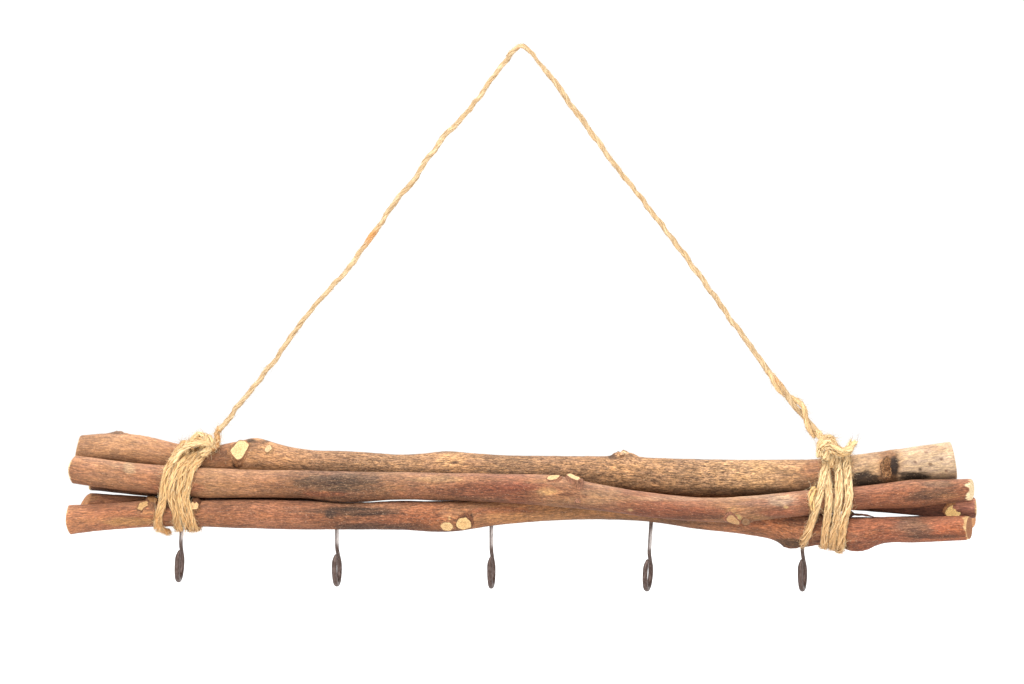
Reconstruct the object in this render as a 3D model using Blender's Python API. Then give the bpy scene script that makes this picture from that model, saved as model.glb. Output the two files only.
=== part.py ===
"""Rustic hanging hook rack: five bark-covered branches bound with jute twine at two
places, hung from a twisted jute cord, with five wire screw hooks along the underside.

Metres, +Z up, +X along the branches, +Y away from the viewer.
The origin is the hanging point, under the top of the cord's loop.
"""

import math

import bmesh
import bpy
import numpy as np
from mathutils import Matrix, Vector

MM = 0.001
GAP = 0.0004                 # clearance kept between touching pieces

# --- driving dimensions -------------------------------------------------------------
CORD_DIAMETER = 0.0033       # two-ply twisted jute
TWINE_RADIUS = 0.0019        # one turn of the binding twine
HOOK_WIRE = 0.00105          # wire radius of a screw hook's shank
HOOK_BEND_WIRE = 0.0013      # and of its bend, where the wire is pressed thicker
HOOK_LENGTH = 0.0435         # thread tip to the bottom of the bend
HOOK_BEND = 0.00835          # centreline radius of the bend
HOOK_THREAD = 0.009          # length of the wood thread
THREAD_CREST = 0.00135
THREAD_ROOT = 0.00095
THREAD_PITCH = 0.0015
PILOT_RADIUS = 0.0017        # hole in the branch around the thread

STICK_RINGS = 45
STICK_SIDES = 12
TWINE_SIDES = 8
HOOK_SIDES = 8

# Branch stations in millimetres: along X, depth Y, height Z, radius.
STICK_TOP = [
    (-242.8, 4.0, -221.5, 8.2), (-226.0, 3.0, -220.6, 8.5), (-204.0, 2.5, -222.8, 8.2),
    (-176.6, 2.5, -227.2, 8.0), (-157.3, 2.4, -225.8, 9.0), (-146.3, 2.4, -224.9, 9.8),
    (-135.3, 2.6, -226.4, 8.8), (-121.6, 3.0, -229.1, 8.5), (-94.0, 3.6, -230.5, 8.5),
    (-66.6, 4.0, -232.4, 8.5), (-39.0, 3.8, -231.6, 9.0), (-11.6, 3.8, -233.2, 9.1),
    (21.5, 3.4, -234.0, 9.3), (54.5, 2.8, -234.6, 9.6), (76.5, 2.6, -236.0, 10.1),
    (98.5, 2.4, -236.8, 10.6), (131.5, 2.2, -236.8, 10.4), (162.8, 1.8, -236.2, 10.1),
    (181.0, 1.4, -234.0, 10.1), (197.5, 1.2, -232.1, 10.3), (214.0, 1.0, -229.6, 10.1),
    (239.0, -0.5, -226.7, 10.5),
]
STICK_MIDDLE = [
    (-249.0, -9.2, -231.4, 7.4), (-231.6, -9.4, -233.5, 7.6), (-209.6, -9.7, -236.2, 7.6),
    (-176.6, -10.0, -238.8, 8.0), (-149.0, -10.2, -239.3, 7.3), (-121.6, -10.5, -239.6, 7.3),
    (-94.0, -10.8, -240.8, 8.0), (-66.6, -11.2, -240.4, 7.4), (-39.0, -12.2, -240.8, 7.2),
    (-11.6, -13.6, -241.6, 7.7), (18.7, -15.2, -243.1, 8.4), (43.5, -15.7, -246.8, 7.2),
    (71.0, -15.7, -250.9, 6.6), (98.5, -15.5, -253.4, 6.4), (120.5, -15.1, -253.3, 6.9),
    (142.5, -14.2, -251.4, 6.8), (156.2, -12.8, -250.0, 6.8), (170.0, -11.2, -248.6, 6.5),
    (182.0, -10.3, -247.5, 6.2), (200.2, -9.8, -246.1, 6.8), (214.0, -9.6, -245.1, 7.5),
    (230.0, -9.4, -243.9, 6.6), (248.0, -9.0, -242.6, 5.6),
]
STICK_BOTTOM = [
    (-250.3, -9.0, -259.1, 7.6), (-231.6, -9.2, -257.7, 7.1), (-204.0, -9.6, -255.8, 6.9),
    (-176.6, -10.0, -255.6, 7.0), (-149.0, -10.0, -255.9, 7.7), (-121.6, -10.0, -256.6, 7.8),
    (-94.0, -10.0, -257.2, 7.3), (-66.6, -9.8, -256.8, 7.7), (-39.0, -8.2, -257.3, 8.3),
    (-11.6, -5.2, -254.9, 6.9), (18.7, -1.7, -252.5, 7.1), (43.5, -1.0, -251.7, 7.2),
    (71.0, -1.0, -253.1, 7.2), (98.5, -1.0, -256.9, 7.3), (123.2, -1.0, -259.4, 7.7),
    (139.7, -1.4, -261.6, 8.4), (150.7, -2.3, -263.7, 9.6), (156.5, -3.2, -264.0, 9.6),
    (168.0, -7.0, -264.4, 8.0), (185.4, -8.6, -267.0, 8.4), (200.2, -8.9, -264.9, 6.7),
    (219.5, -9.0, -264.6, 6.6), (246.5, -9.0, -263.7, 6.3),
]
STICK_REAR_UPPER = [
    (-238.2, 7.2, -237.2, 5.8), (-204.0, 7.8, -240.6, 5.9), (-176.6, 9.4, -242.6, 5.9),
    (-146.3, 11.0, -244.1, 5.8), (-121.6, 12.0, -244.9, 5.8), (-94.0, 13.8, -244.6, 5.7),
    (-66.6, 15.4, -242.6, 5.6), (-39.0, 15.6, -243.7, 5.6), (-11.6, 16.4, -242.8, 5.6),
    (18.7, 17.2, -242.0, 5.6), (43.5, 17.6, -242.2, 5.6), (71.0, 17.6, -243.4, 5.6),
    (98.5, 17.2, -246.0, 5.7), (131.5, 15.4, -248.2, 5.8), (162.8, 13.2, -248.2, 5.9),
    (183.7, 10.2, -248.2, 5.9), (208.4, 6.2, -250.0, 5.9), (230.4, 1.8, -251.7, 5.7),
    (250.2, -1.8, -252.6, 5.4),
]
STICK_REAR_LOWER = [
    (-241.0, 3.4, -250.5, 5.7), (-231.6, 3.8, -251.3, 5.9), (-204.0, 4.0, -252.8, 5.9),
    (-176.6, 4.2, -254.4, 5.9), (-121.6, 4.8, -255.9, 5.9), (-66.6, 5.6, -256.0, 5.8),
    (-39.0, 7.6, -256.0, 5.8), (-11.6, 9.6, -255.4, 5.7), (18.7, 12.8, -253.8, 5.7),
    (43.5, 13.4, -253.4, 5.7), (71.0, 13.4, -254.7, 5.7), (98.5, 13.4, -258.5, 5.7),
    (131.5, 13.6, -261.8, 5.8), (153.5, 13.6, -264.0, 5.9), (167.0, 11.4, -264.4, 5.9),
    (185.4, 8.6, -264.4, 5.9), (208.4, 7.6, -264.0, 5.8), (230.4, 7.4, -262.3, 5.5),
    (249.0, 7.6, -259.0, 5.2),
]
# How each end is cut: shift along X per metre of height, and per metre of depth.
END_CUTS = {
    "stick_top": ((0.20, 0.05), (-0.18, -0.05)),
    "stick_middle": ((0.02, -0.05), (0.0, 0.30)),
    "stick_bottom": ((0.02, -0.05), (0.0, 0.36)),
    "stick_rear_upper": ((0.05, -0.10), (-0.04, -0.10)),
    "stick_rear_lower": ((0.75, -0.20), (-0.05, 0.50)),
}
# Cut side branches: X, angle round the branch (0 is up, 90 towards the viewer), lean
# along X in degrees, radius and how far the cut face stands off the bark, in millimetres.
STUBS = {
    "stick_top": [(-154.5, 62, 12, 4.6, 1.8), (54.0, 8, 0, 4.0, 2.2), (-224.0, 6, -10, 2.2, 1.3)],
    "stick_middle": [(18.0, 48, 5, 3.0, 1.0), (29.5, 40, 10, 3.2, 1.4), (118.0, 128, -15, 4.2, 1.0)],
    "stick_bottom": [(-208.0, 62, -12, 3.6, 1.4), (-178.0, 70, 12, 2.4, 1.6),
                     (-40.5, 120, -5, 3.2, 1.0), (-31.8, 112, 8, 4.2, 1.2)],
    "stick_rear_upper": [(238.3, 112, 0, 3.4, 0.6)],
    "stick_rear_lower": [],
}
# Screw hooks: X and Z of the bottom of the bend, turn about the shank, lean along X.
HOOKS = [
    (-188.3, -293.7, 8.2, 3.4), (-101.2, -296.0, 9.0, 0.0), (-16.3, -297.3, 7.5, 0.0),
    (69.3, -299.0, 12.5, 3.6), (155.0, -299.0, 13.0, 0.0),
]
# Front of each turn of the binding: X at falling heights, in millimetres.
LEFT_LEVELS = (-215.0, -223.6, -231.8, -240.1, -248.3, -256.6, -266.0)
LEFT_TURNS = [
    (-171.3, -175.7, -180.8, -183.3, -183.5, -181.6, -178.5),
    (-176.0, -180.3, -185.3, -187.5, -187.7, -185.8, -182.8),
    (-180.7, -184.8, -189.7, -191.7, -191.9, -190.6, -190.3),
    (-185.4, -189.5, -194.2, -196.0, -196.6, -198.9, -199.4),
]
RIGHT_LEVELS = (-220.0, -229.0, -237.3, -245.6, -253.8, -262.1, -270.3, -277.0)
RIGHT_TURNS = [
    (180.4, 180.5, 180.1, 179.5, 178.2, 176.8, 175.8, 175.5),
    (175.9, 176.0, 175.3, 174.4, 173.3, 172.3, 171.3, 171.0),
    (171.4, 171.5, 170.4, 169.3, 168.4, 167.7, 166.8, 166.4),
    (166.8, 167.0, 165.7, 164.1, 161.9, 159.3, 155.8, 151.2),
]
# The free cord's route, X and Z in millimetres; it hangs in the plane Y = 0.
CORD_ROUTE = [
    (-168.6, -212.7), (-165.2, -208.6), (-155.9, -196.9), (-144.0, -182.4), (-131.6, -165.8),
    (-110.9, -138.4), (-99.6, -126.0), (-83.6, -104.9), (-67.6, -82.3), (-57.6, -70.0),
    (-43.4, -49.2), (-30.3, -35.6), (-16.6, -17.4), (-9.4, -8.0), (-4.6, -1.7),
    (0.0, 1.65), (5.0, -0.9), (10.0, -7.0), (18.2, -18.0), (34.0, -39.8),
    (46.2, -55.8), (61.0, -75.2), (76.0, -94.9), (95.0, -120.2), (106.7, -136.3),
    (124.3, -160.9), (134.0, -174.2), (140.6, -184.0), (147.2, -191.6), (154.4, -198.4),
    (157.9, -205.6), (161.3, -210.8), (163.4, -213.7),
]


def clear_scene():
    for obj in list(bpy.data.objects):
        bpy.data.objects.remove(obj, do_unlink=True)


def material(name, color, roughness, metallic=0.0):
    mat = bpy.data.materials.new(name)
    mat.use_nodes = True
    shader = mat.node_tree.nodes["Principled BSDF"]
    shader.inputs["Base Color"].default_value = (*color, 1.0)
    shader.inputs["Roughness"].default_value = roughness
    shader.inputs["Metallic"].default_value = metallic
    mat.diffuse_color = (*color, 1.0)
    return mat


def smooth_table(xs, table, x):
    """Cubic Hermite interpolation of the rows of table, whose stations are xs."""
    xs, table = np.asarray(xs, float), np.asarray(table, float)
    slope = np.gradient(table, xs, axis=0)
    i = int(np.clip(np.searchsorted(xs, x) - 1, 0, len(xs) - 2))
    h = xs[i + 1] - xs[i]
    t = (x - xs[i]) / h
    a = (1 + 2 * t) * (1 - t) ** 2
    b = t * (1 - t) ** 2
    c = t * t * (3 - 2 * t)
    d = t * t * (t - 1)
    return a * table[i] + b * h * slope[i] + c * table[i + 1] + d * h * slope[i + 1]


def stick_at(stations, x_mm):
    """Depth, height and radius of a branch at x, in millimetres."""
    rows = np.array(stations)
    return smooth_table(rows[:, 0], rows[:, 1:], x_mm)


def mesh_object(name, verts, faces, mat, smooth=True):
    mesh = bpy.data.meshes.new(name)
    mesh.from_pydata([tuple(v) for v in verts], [], faces)
    bm = bmesh.new()
    bm.from_mesh(mesh)
    bmesh.ops.recalc_face_normals(bm, faces=bm.faces)
    bm.to_mesh(mesh)
    bm.free()
    if smooth:
        mesh.shade_smooth()
        mesh.set_sharp_from_angle(angle=math.radians(50))
    mesh.materials.append(mat)
    obj = bpy.data.objects.new(name, mesh)
    bpy.context.scene.collection.objects.link(obj)
    return obj


def ring_faces(rings, sides):
    faces = []
    for j in range(rings - 1):
        for k in range(sides):
            n = (k + 1) % sides
            faces.append((j * sides + k, j * sides + n, (j + 1) * sides + n, (j + 1) * sides + k))
    faces.append(tuple(reversed(range(sides))))
    faces.append(tuple(range((rings - 1) * sides, rings * sides)))
    return faces


def build_stick(name, stations, phase, mat):
    """A branch lofted through its stations, a little uneven round its girth, with cut ends."""
    left, right = stations[0][0], stations[-1][0]
    chamfer = 1.2
    xs = np.linspace(left + chamfer, right - chamfer, STICK_RINGS - 2)
    xs = np.concatenate([[left], xs, [right]])
    cut_left, cut_right = END_CUTS[name]
    verts = []
    for j, x in enumerate(xs):
        y, z, r = stick_at(stations, x)
        if j in (0, STICK_RINGS - 1):
            r *= 0.88
        u = (x - left) / (right - left)
        # the cut planes only tilt the last 30 mm of each end
        near = max(0.0, 1 - (x - left) / 30.0), max(0.0, 1 - (right - x) / 30.0)
        for k in range(STICK_SIDES):
            a = 2 * math.pi * k / STICK_SIDES
            uneven = 1 + 0.018 * math.sin(2 * a + 5 * u + phase) + 0.012 * math.sin(3 * a - 9 * u + 2 * phase)
            dy, dz = -math.sin(a) * r * uneven * 0.97, math.cos(a) * r * uneven * 0.985
            shift = near[0] * (cut_left[0] * dz + cut_left[1] * dy)
            shift += near[1] * (cut_right[0] * dz + cut_right[1] * dy)
            verts.append(Vector((x + shift, y + dy, z + dz)) * MM)
    return mesh_object(name, verts, ring_faces(len(xs), STICK_SIDES), mat)


def hide_helper(obj):
    obj.hide_render = True
    obj.display_type = "WIRE"


def cone(name, start, end, r1, r2, sides, mat):
    """A closed frustum from start to end, used as a side branch or as a drill."""
    axis = (end - start).normalized()
    turn = axis.to_track_quat("Z", "Y").to_matrix().to_4x4()
    bm = bmesh.new()
    bmesh.ops.create_cone(
        bm, cap_ends=True, segments=sides, radius1=r1, radius2=r2, depth=(end - start).length,
        matrix=Matrix.Translation((start + end) / 2) @ turn,
    )
    mesh = bpy.data.meshes.new(name)
    bm.to_mesh(mesh)
    bm.free()
    mesh.materials.append(mat)
    obj = bpy.data.objects.new(name, mesh)
    bpy.context.scene.collection.objects.link(obj)
    hide_helper(obj)
    return obj


def boolean(target, other, operation):
    mod = target.modifiers.new(f"{operation.lower()}_{other.name}", "BOOLEAN")
    mod.operation = operation
    mod.object = other
    mod.solver = "EXACT"


def add_stubs(obj, stations, stubs, mat):
    for n, (x, turn, lean, radius, stand) in enumerate(stubs):
        y, z, r = stick_at(stations, x)
        a, b = math.radians(turn), math.radians(lean)
        out = Vector((math.sin(b), -math.sin(a) * math.cos(b), math.cos(a) * math.cos(b)))
        core = Vector((x, y, z))
        start = core + out * (r * 0.45)
        end = core + out * (r + stand)
        stub = cone(f"{obj.name}_side_{n + 1}", start * MM, end * MM,
                    radius * 1.35 * MM, radius * MM, 10, mat)
        boolean(obj, stub, "UNION")


def transport_frames(points):
    """Tangent, normal and side vectors carried along a line without twisting."""
    pts = [Vector(p) for p in points]
    tangents = []
    for i in range(len(pts)):
        a, b = pts[max(i - 1, 0)], pts[min(i + 1, len(pts) - 1)]
        tangents.append((b - a).normalized())
    up = Vector((1, 0, 0)) if abs(tangents[0].x) < 0.8 else Vector((0, 1, 0))
    normal = (up - tangents[0] * up.dot(tangents[0])).normalized()
    frames = []
    for i, t in enumerate(tangents):
        normal = (normal - t * normal.dot(t)).normalized()
        frames.append((pts[i], t, normal, t.cross(normal)))
    return frames


def sweep(name, points, radii, sides, mat):
    """A closed round tube along points, with its own radius at each."""
    verts = []
    for i, (p, _t, n, s) in enumerate(transport_frames(points)):
        for k in range(sides):
            a = 2 * math.pi * k / sides
            r = radii(i, a) if callable(radii) else radii
            verts.append(p + (n * math.cos(a) + s * math.sin(a)) * r)
    return mesh_object(name, verts, ring_faces(len(points), sides), mat)


def resampled(points, spacing):
    """A smooth curve through the points, cut into even steps of about spacing."""
    pts = np.array(points, float)
    chord = np.concatenate([[0], np.cumsum(np.linalg.norm(np.diff(pts, axis=0), axis=1))])
    fine = np.array([smooth_table(chord, pts, s) for s in np.linspace(0, chord[-1], 12 * len(pts))])
    run = np.concatenate([[0], np.cumsum(np.linalg.norm(np.diff(fine, axis=0), axis=1))])
    count = max(2, int(round(run[-1] / spacing)) + 1)
    marks = np.linspace(0, run[-1], count)
    return np.stack([np.interp(marks, run, fine[:, c]) for c in range(pts.shape[1])], axis=1)


# --- binding twine ------------------------------------------------------------------
ALL_STICKS = (STICK_TOP, STICK_MIDDLE, STICK_BOTTOM, STICK_REAR_UPPER, STICK_REAR_LOWER)


def wrap_profile(x_mm, offset_mm, start_deg, end_deg):
    """The taut line round the bundle's cross-section at x, as (Y, Z) in millimetres.

    The angle runs from the top (90) down the front (180), underneath (270) and up the back.
    """
    discs = [stick_at(s, x_mm) for s in ALL_STICKS]
    line = []
    for deg in np.arange(start_deg, end_deg + 0.1, 7.5):
        a = math.radians(deg)
        c, s = math.cos(a), math.sin(a)
        y, z, r = max(discs, key=lambda d: d[0] * c + d[1] * s + d[2])
        line.append((y + (r + offset_mm) * c, z + (r + offset_mm) * s))
    out = [line[0]]
    for p in line[1:]:
        q = out[-1]
        gap = math.dist(p, q)
        steps = max(1, int(gap / 4.5))
        for i in range(1, steps + 1):
            out.append((q[0] + (p[0] - q[0]) * i / steps, q[1] + (p[1] - q[1]) * i / steps))
    return out


def pushed_out(x, y, z, clear_mm):
    """Moves a point of the twine's centreline clear of every branch at its own x."""
    for _ in range(6):
        for stations in ALL_STICKS:
            cy, cz, r = stick_at(stations, x)
            d = math.hypot(y - cy, z - cz)
            if d < r + clear_mm:
                y = cy + (y - cy) / d * (r + clear_mm)
                z = cz + (z - cz) / d * (r + clear_mm)
    return y, z


def winding(levels, turns):
    """Centreline of the binding: each turn runs down the front and climbs the back to the next."""
    radius = TWINE_RADIUS / MM
    clear = radius + GAP / MM + 0.5
    heights = np.array(levels[::-1])
    fronts = [np.array(t[::-1]) for t in turns]
    points = []
    for n, front in enumerate(fronts):
        x_mid = float(np.mean(front))
        top, bottom = front[-1], front[0]
        following = fronts[n + 1][-1] if n + 1 < len(fronts) else top - (turns[0][0] - turns[1][0])
        down = wrap_profile(x_mid, clear, 90, 270)
        up = wrap_profile(x_mid, clear, 270, 450)
        path = [(float(np.interp(z, heights, front)), y, z) for y, z in down]
        run = np.concatenate([[0], np.cumsum([math.dist(a, b) for a, b in zip(up, up[1:])])])
        path += [
            (bottom + (following - bottom) * float(run[i] / run[-1]), y, z)
            for i, (y, z) in enumerate(up) if i
        ]
        if n:
            path = path[1:]
        points += path
    points = [(x, *pushed_out(x, y, z, clear)) for x, y, z in points]
    return resampled(points, 4.7) * MM


def lump(name, centre_mm, size_mm, mat, turn=0.0):
    """A soft rounded lump of knotted twine."""
    bm = bmesh.new()
    bmesh.ops.create_uvsphere(bm, u_segments=12, v_segments=8, radius=1.0)
    for v in bm.verts:
        ripple = 1 + 0.07 * math.sin(5 * v.co.x + 2) * math.cos(4 * v.co.z)
        v.co = Vector((v.co.x * size_mm[0], v.co.y * size_mm[1], v.co.z * size_mm[2])) * ripple * MM
    bmesh.ops.rotate(bm, verts=bm.verts, matrix=Matrix.Rotation(math.radians(turn), 3, "Y"))
    bmesh.ops.translate(bm, verts=bm.verts, vec=Vector(centre_mm) * MM)
    mesh = bpy.data.meshes.new(name)
    bm.to_mesh(mesh)
    bm.free()
    mesh.materials.append(mat)
    obj = bpy.data.objects.new(name, mesh)
    bpy.context.scene.collection.objects.link(obj)
    hide_helper(obj)
    return obj


def hook_path():
    """Centreline of a screw hook in its own plane, from the thread's tip to the open end."""
    top = HOOK_LENGTH
    low = 0.0225
    centre = HOOK_BEND + HOOK_BEND_WIRE
    pts, kinds = [], []
    turns = HOOK_THREAD / THREAD_PITCH
    steps = int(turns * 4)
    for i in range(steps + 1):
        pts.append((0.0, top - HOOK_THREAD * i / steps))
        kinds.append("thread")
    pts += [(0.0, top - HOOK_THREAD - 0.0012), (0.0, low + 0.002)]
    kinds += ["wire"] * 2
    bend = [(0.0, low), (0.0009, 0.0205), (0.0029, 0.0186), (0.0052, 0.0166), (0.0070, 0.0142)]
    for i in range(13):
        a = math.radians(8 - 188 * i / 12)
        bend.append((HOOK_BEND * math.cos(a), centre + HOOK_BEND * math.sin(a)))
    bend += [(-HOOK_BEND + 0.0001, centre + 0.0028), (-HOOK_BEND + 0.0004, 0.0145),
             (-HOOK_BEND + 0.0008, 0.0164), (-HOOK_BEND + 0.0014, 0.0180)]
    pts += bend
    kinds += ["wire"] * 2 + ["bend"] * (len(bend) - 2)
    return [Vector((0.0, y, z)) for y, z in pts], kinds


def build_hook_mesh(mat):
    pts, kinds = hook_path()
    last = len(pts) - 1

    def radius(i, a):
        if i == last:
            return HOOK_BEND_WIRE * 0.72
        if kinds[i] == "bend":
            return HOOK_BEND_WIRE
        if kinds[i] == "wire":
            return HOOK_WIRE
        turn = i / 4.0 - a / (2 * math.pi)
        wave = 0.5 + 0.5 * math.cos(2 * math.pi * turn)
        taper = min(1.0, 0.45 + 0.55 * i / 6)
        return (THREAD_ROOT + (THREAD_CREST - THREAD_ROOT) * wave) * taper

    return sweep("screw_hook_1", pts, radius, HOOK_SIDES, mat)


def main():
    clear_scene()
    bark = material("bark", (0.33, 0.17, 0.10), 0.85)
    bark_pale = material("bark_pale", (0.42, 0.28, 0.17), 0.85)
    bark_dark = material("bark_dark", (0.22, 0.12, 0.08), 0.88)
    jute = material("jute", (0.66, 0.47, 0.25), 0.95)
    steel = material("hook_metal", (0.12, 0.10, 0.09), 0.35, 1.0)

    sticks = {}
    for n, (name, stations, mat) in enumerate((
        ("stick_top", STICK_TOP, bark_pale), ("stick_middle", STICK_MIDDLE, bark),
        ("stick_bottom", STICK_BOTTOM, bark), ("stick_rear_upper", STICK_REAR_UPPER, bark_dark),
        ("stick_rear_lower", STICK_REAR_LOWER, bark_dark),
    )):
        sticks[name] = build_stick(name, stations, 1.3 * n, mat)
        add_stubs(sticks[name], stations, STUBS[name], mat)

    # screw hooks, each in its pilot hole under the lowest front branch
    first = build_hook_mesh(steel)
    for n, (x, z, turn, lean) in enumerate(HOOKS):
        hook = first if n == 0 else bpy.data.objects.new(f"screw_hook_{n + 1}", first.data)
        if n:
            bpy.context.scene.collection.objects.link(hook)
        rise = Vector((math.sin(math.radians(lean)), 0.0, math.cos(math.radians(lean))))
        x_wood = x + 40.0 * math.sin(math.radians(lean))
        y = float(stick_at(STICK_BOTTOM, x_wood)[0])
        place = Matrix.Translation(Vector((x, y, z)) * MM)
        place = place @ Matrix.Rotation(math.radians(lean), 4, "Y")
        hook.matrix_world = place @ Matrix.Rotation(math.radians(-turn), 4, "Z")
        foot = Vector((x, y, z)) * MM
        drill = cone(f"pilot_{n + 1}", foot + rise * 0.024, foot + rise * (HOOK_LENGTH + GAP),
                     PILOT_RADIUS, PILOT_RADIUS, 12, steel)
        boolean(sticks["stick_bottom"], drill, "DIFFERENCE")

    # the two bindings with their knots
    left = sweep("twine_binding_left", winding(LEFT_LEVELS, LEFT_TURNS), TWINE_RADIUS, TWINE_SIDES, jute)
    boolean(left, lump("knot_left_loop", (-177.2, -1.5, -213.6), (4.6, 4.0, 3.6), jute, -20), "UNION")
    boolean(left, lump("knot_left_root", (-170.6, -1.5, -215.9), (3.4, 3.2, 3.1), jute), "UNION")
    right = sweep("twine_binding_right", winding(RIGHT_LEVELS, RIGHT_TURNS), TWINE_RADIUS, TWINE_SIDES, jute)
    boolean(right, lump("knot_right_loop", (167.4, -1.5, -217.0), (4.2, 4.0, 4.6), jute, 15), "UNION")
    tail = cone("knot_right_tail", Vector((0.1680, -0.0015, -0.2185)), Vector((0.1838, -0.0035, -0.2172)),
                0.0026, 0.0032, 10, jute)
    boolean(right, tail, "UNION")

    # the hanging cord
    route = resampled([(x, 0.0, z) for x, z in CORD_ROUTE], 8.0) * MM
    curve = bpy.data.curves.new("hanging_cord", "CURVE")
    curve.dimensions = "3D"
    curve.bevel_depth = CORD_DIAMETER / 2
    curve.bevel_resolution = 2
    curve.use_fill_caps = True
    spline = curve.splines.new("POLY")
    spline.points.add(len(route) - 1)
    for p, co in zip(spline.points, route):
        p.co = (*co, 1.0)
    curve.materials.append(jute)
    cord = bpy.data.objects.new("hanging_cord", curve)
    bpy.context.scene.collection.objects.link(cord)


main()
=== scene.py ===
"""Looks of the branch hook rack: bark-covered branches, jute twine and cord, wire screw hooks.

Metres, +Z up, +Y away from the viewer; lengths below are in millimetres where a name ends in _mm
and in the tables, which are then scaled by MM.
"""

import math

import bpy
import numpy as np
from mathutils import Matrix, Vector


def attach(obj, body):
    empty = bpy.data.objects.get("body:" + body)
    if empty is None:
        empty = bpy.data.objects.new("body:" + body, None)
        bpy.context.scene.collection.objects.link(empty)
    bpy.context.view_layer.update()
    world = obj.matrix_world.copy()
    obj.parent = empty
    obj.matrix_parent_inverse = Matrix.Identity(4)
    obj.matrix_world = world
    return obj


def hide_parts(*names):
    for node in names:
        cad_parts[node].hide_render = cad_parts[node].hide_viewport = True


MM = 0.001
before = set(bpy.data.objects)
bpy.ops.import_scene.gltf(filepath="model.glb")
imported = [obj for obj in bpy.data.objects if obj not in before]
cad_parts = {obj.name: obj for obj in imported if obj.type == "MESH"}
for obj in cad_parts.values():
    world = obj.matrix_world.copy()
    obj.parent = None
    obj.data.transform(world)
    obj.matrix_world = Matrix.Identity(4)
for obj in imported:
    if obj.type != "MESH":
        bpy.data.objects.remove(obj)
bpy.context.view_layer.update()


# ------------------------------------------------------------------------------------
# numbers: noise, smooth tables, colours
# ------------------------------------------------------------------------------------
_rng = np.random.default_rng(11)
PERM = _rng.permutation(256)
GRADS = _rng.normal(size=(256, 3))
GRADS /= np.linalg.norm(GRADS, axis=1)[:, None]


def noise3(p, seed=0):
    """Smooth gradient noise, about -1 to 1, at the rows of p."""
    p = np.asarray(p, float) + np.array([seed * 13.71, seed * 7.13, seed * 29.37])
    i = np.floor(p).astype(np.int64)
    f = p - i
    u = f * f * f * (f * (f * 6 - 15) + 10)
    total = 0.0
    for dx in (0, 1):
        wx = u[:, 0] if dx else 1 - u[:, 0]
        px = PERM[(i[:, 0] + dx) & 255]
        for dy in (0, 1):
            wy = u[:, 1] if dy else 1 - u[:, 1]
            py = PERM[(px + i[:, 1] + dy) & 255]
            for dz in (0, 1):
                wz = u[:, 2] if dz else 1 - u[:, 2]
                g = GRADS[PERM[(py + i[:, 2] + dz) & 255]]
                dot = (f[:, 0] - dx) * g[:, 0] + (f[:, 1] - dy) * g[:, 1] + (f[:, 2] - dz) * g[:, 2]
                total = total + wx * wy * wz * dot
    return total * 1.7


def fbm(p, octaves=3, seed=0, gain=0.5):
    p = np.asarray(p, float)
    total, amp, norm = 0.0, 1.0, 0.0
    for o in range(octaves):
        total = total + amp * noise3(p * 2.0**o, seed + 3 * o)
        norm += amp
        amp *= gain
    return total / norm


def smooth(a, b, x):
    t = np.clip((x - a) / (b - a), 0, 1)
    return t * t * (3 - 2 * t)


def hermite(xs, table, x):
    """Cubic Hermite interpolation of the rows of table at x, an array."""
    xs, table = np.asarray(xs, float), np.asarray(table, float)
    x = np.atleast_1d(np.asarray(x, float))
    slope = np.gradient(table, xs, axis=0)
    i = np.clip(np.searchsorted(xs, x) - 1, 0, len(xs) - 2)
    h = (xs[i + 1] - xs[i])[:, None]
    t = ((x - xs[i]) / h[:, 0])[:, None]
    a = (1 + 2 * t) * (1 - t) ** 2
    b = t * (1 - t) ** 2
    c = t * t * (3 - 2 * t)
    d = t * t * (t - 1)
    return a * table[i] + b * h * slope[i] + c * table[i + 1] + d * h * slope[i + 1]


def rgb(r, g, b):
    """An sRGB colour from 0 to 255 as linear numbers."""
    c = np.array([r, g, b], float) / 255
    return np.where(c <= 0.04045, c / 12.92, ((c + 0.055) / 1.055) ** 2.4)


def px_x(px):
    return (px - 521) * 0.55


def px_z(py):
    return -(py - 48.5) * 0.55


# ------------------------------------------------------------------------------------
# meshes
# ------------------------------------------------------------------------------------
def build_mesh(name, verts_mm, groups, mat, attrs):
    """A mesh object from vertices in millimetres and groups of equal-sided faces."""
    verts = np.asarray(verts_mm, np.float32) * MM
    mesh = bpy.data.meshes.new(name)
    mesh.vertices.add(len(verts))
    mesh.vertices.foreach_set("co", verts.ravel())
    groups = [np.asarray(g, np.int32) for g in groups if len(g)]
    corners = np.concatenate([g.ravel() for g in groups])
    sizes = np.concatenate([np.full(len(g), g.shape[1], np.int32) for g in groups])
    starts = np.concatenate([[0], np.cumsum(sizes)[:-1]]).astype(np.int32)
    mesh.loops.add(len(corners))
    mesh.loops.foreach_set("vertex_index", corners)
    mesh.polygons.add(len(sizes))
    mesh.polygons.foreach_set("loop_start", starts)
    mesh.polygons.foreach_set("use_smooth", np.ones(len(sizes), bool))
    mesh.update(calc_edges=True)
    for key, values in attrs.items():
        values = np.asarray(values, np.float32)
        if values.shape[1] == 4:
            layer = mesh.attributes.new(key, "FLOAT_COLOR", "POINT")
            layer.data.foreach_set("color", values.ravel())
        else:
            layer = mesh.attributes.new(key, "FLOAT_VECTOR", "POINT")
            layer.data.foreach_set("vector", values.ravel())
    mesh.materials.append(mat)
    obj = bpy.data.objects.new(name, mesh)
    bpy.context.scene.collection.objects.link(obj)
    return obj


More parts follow.
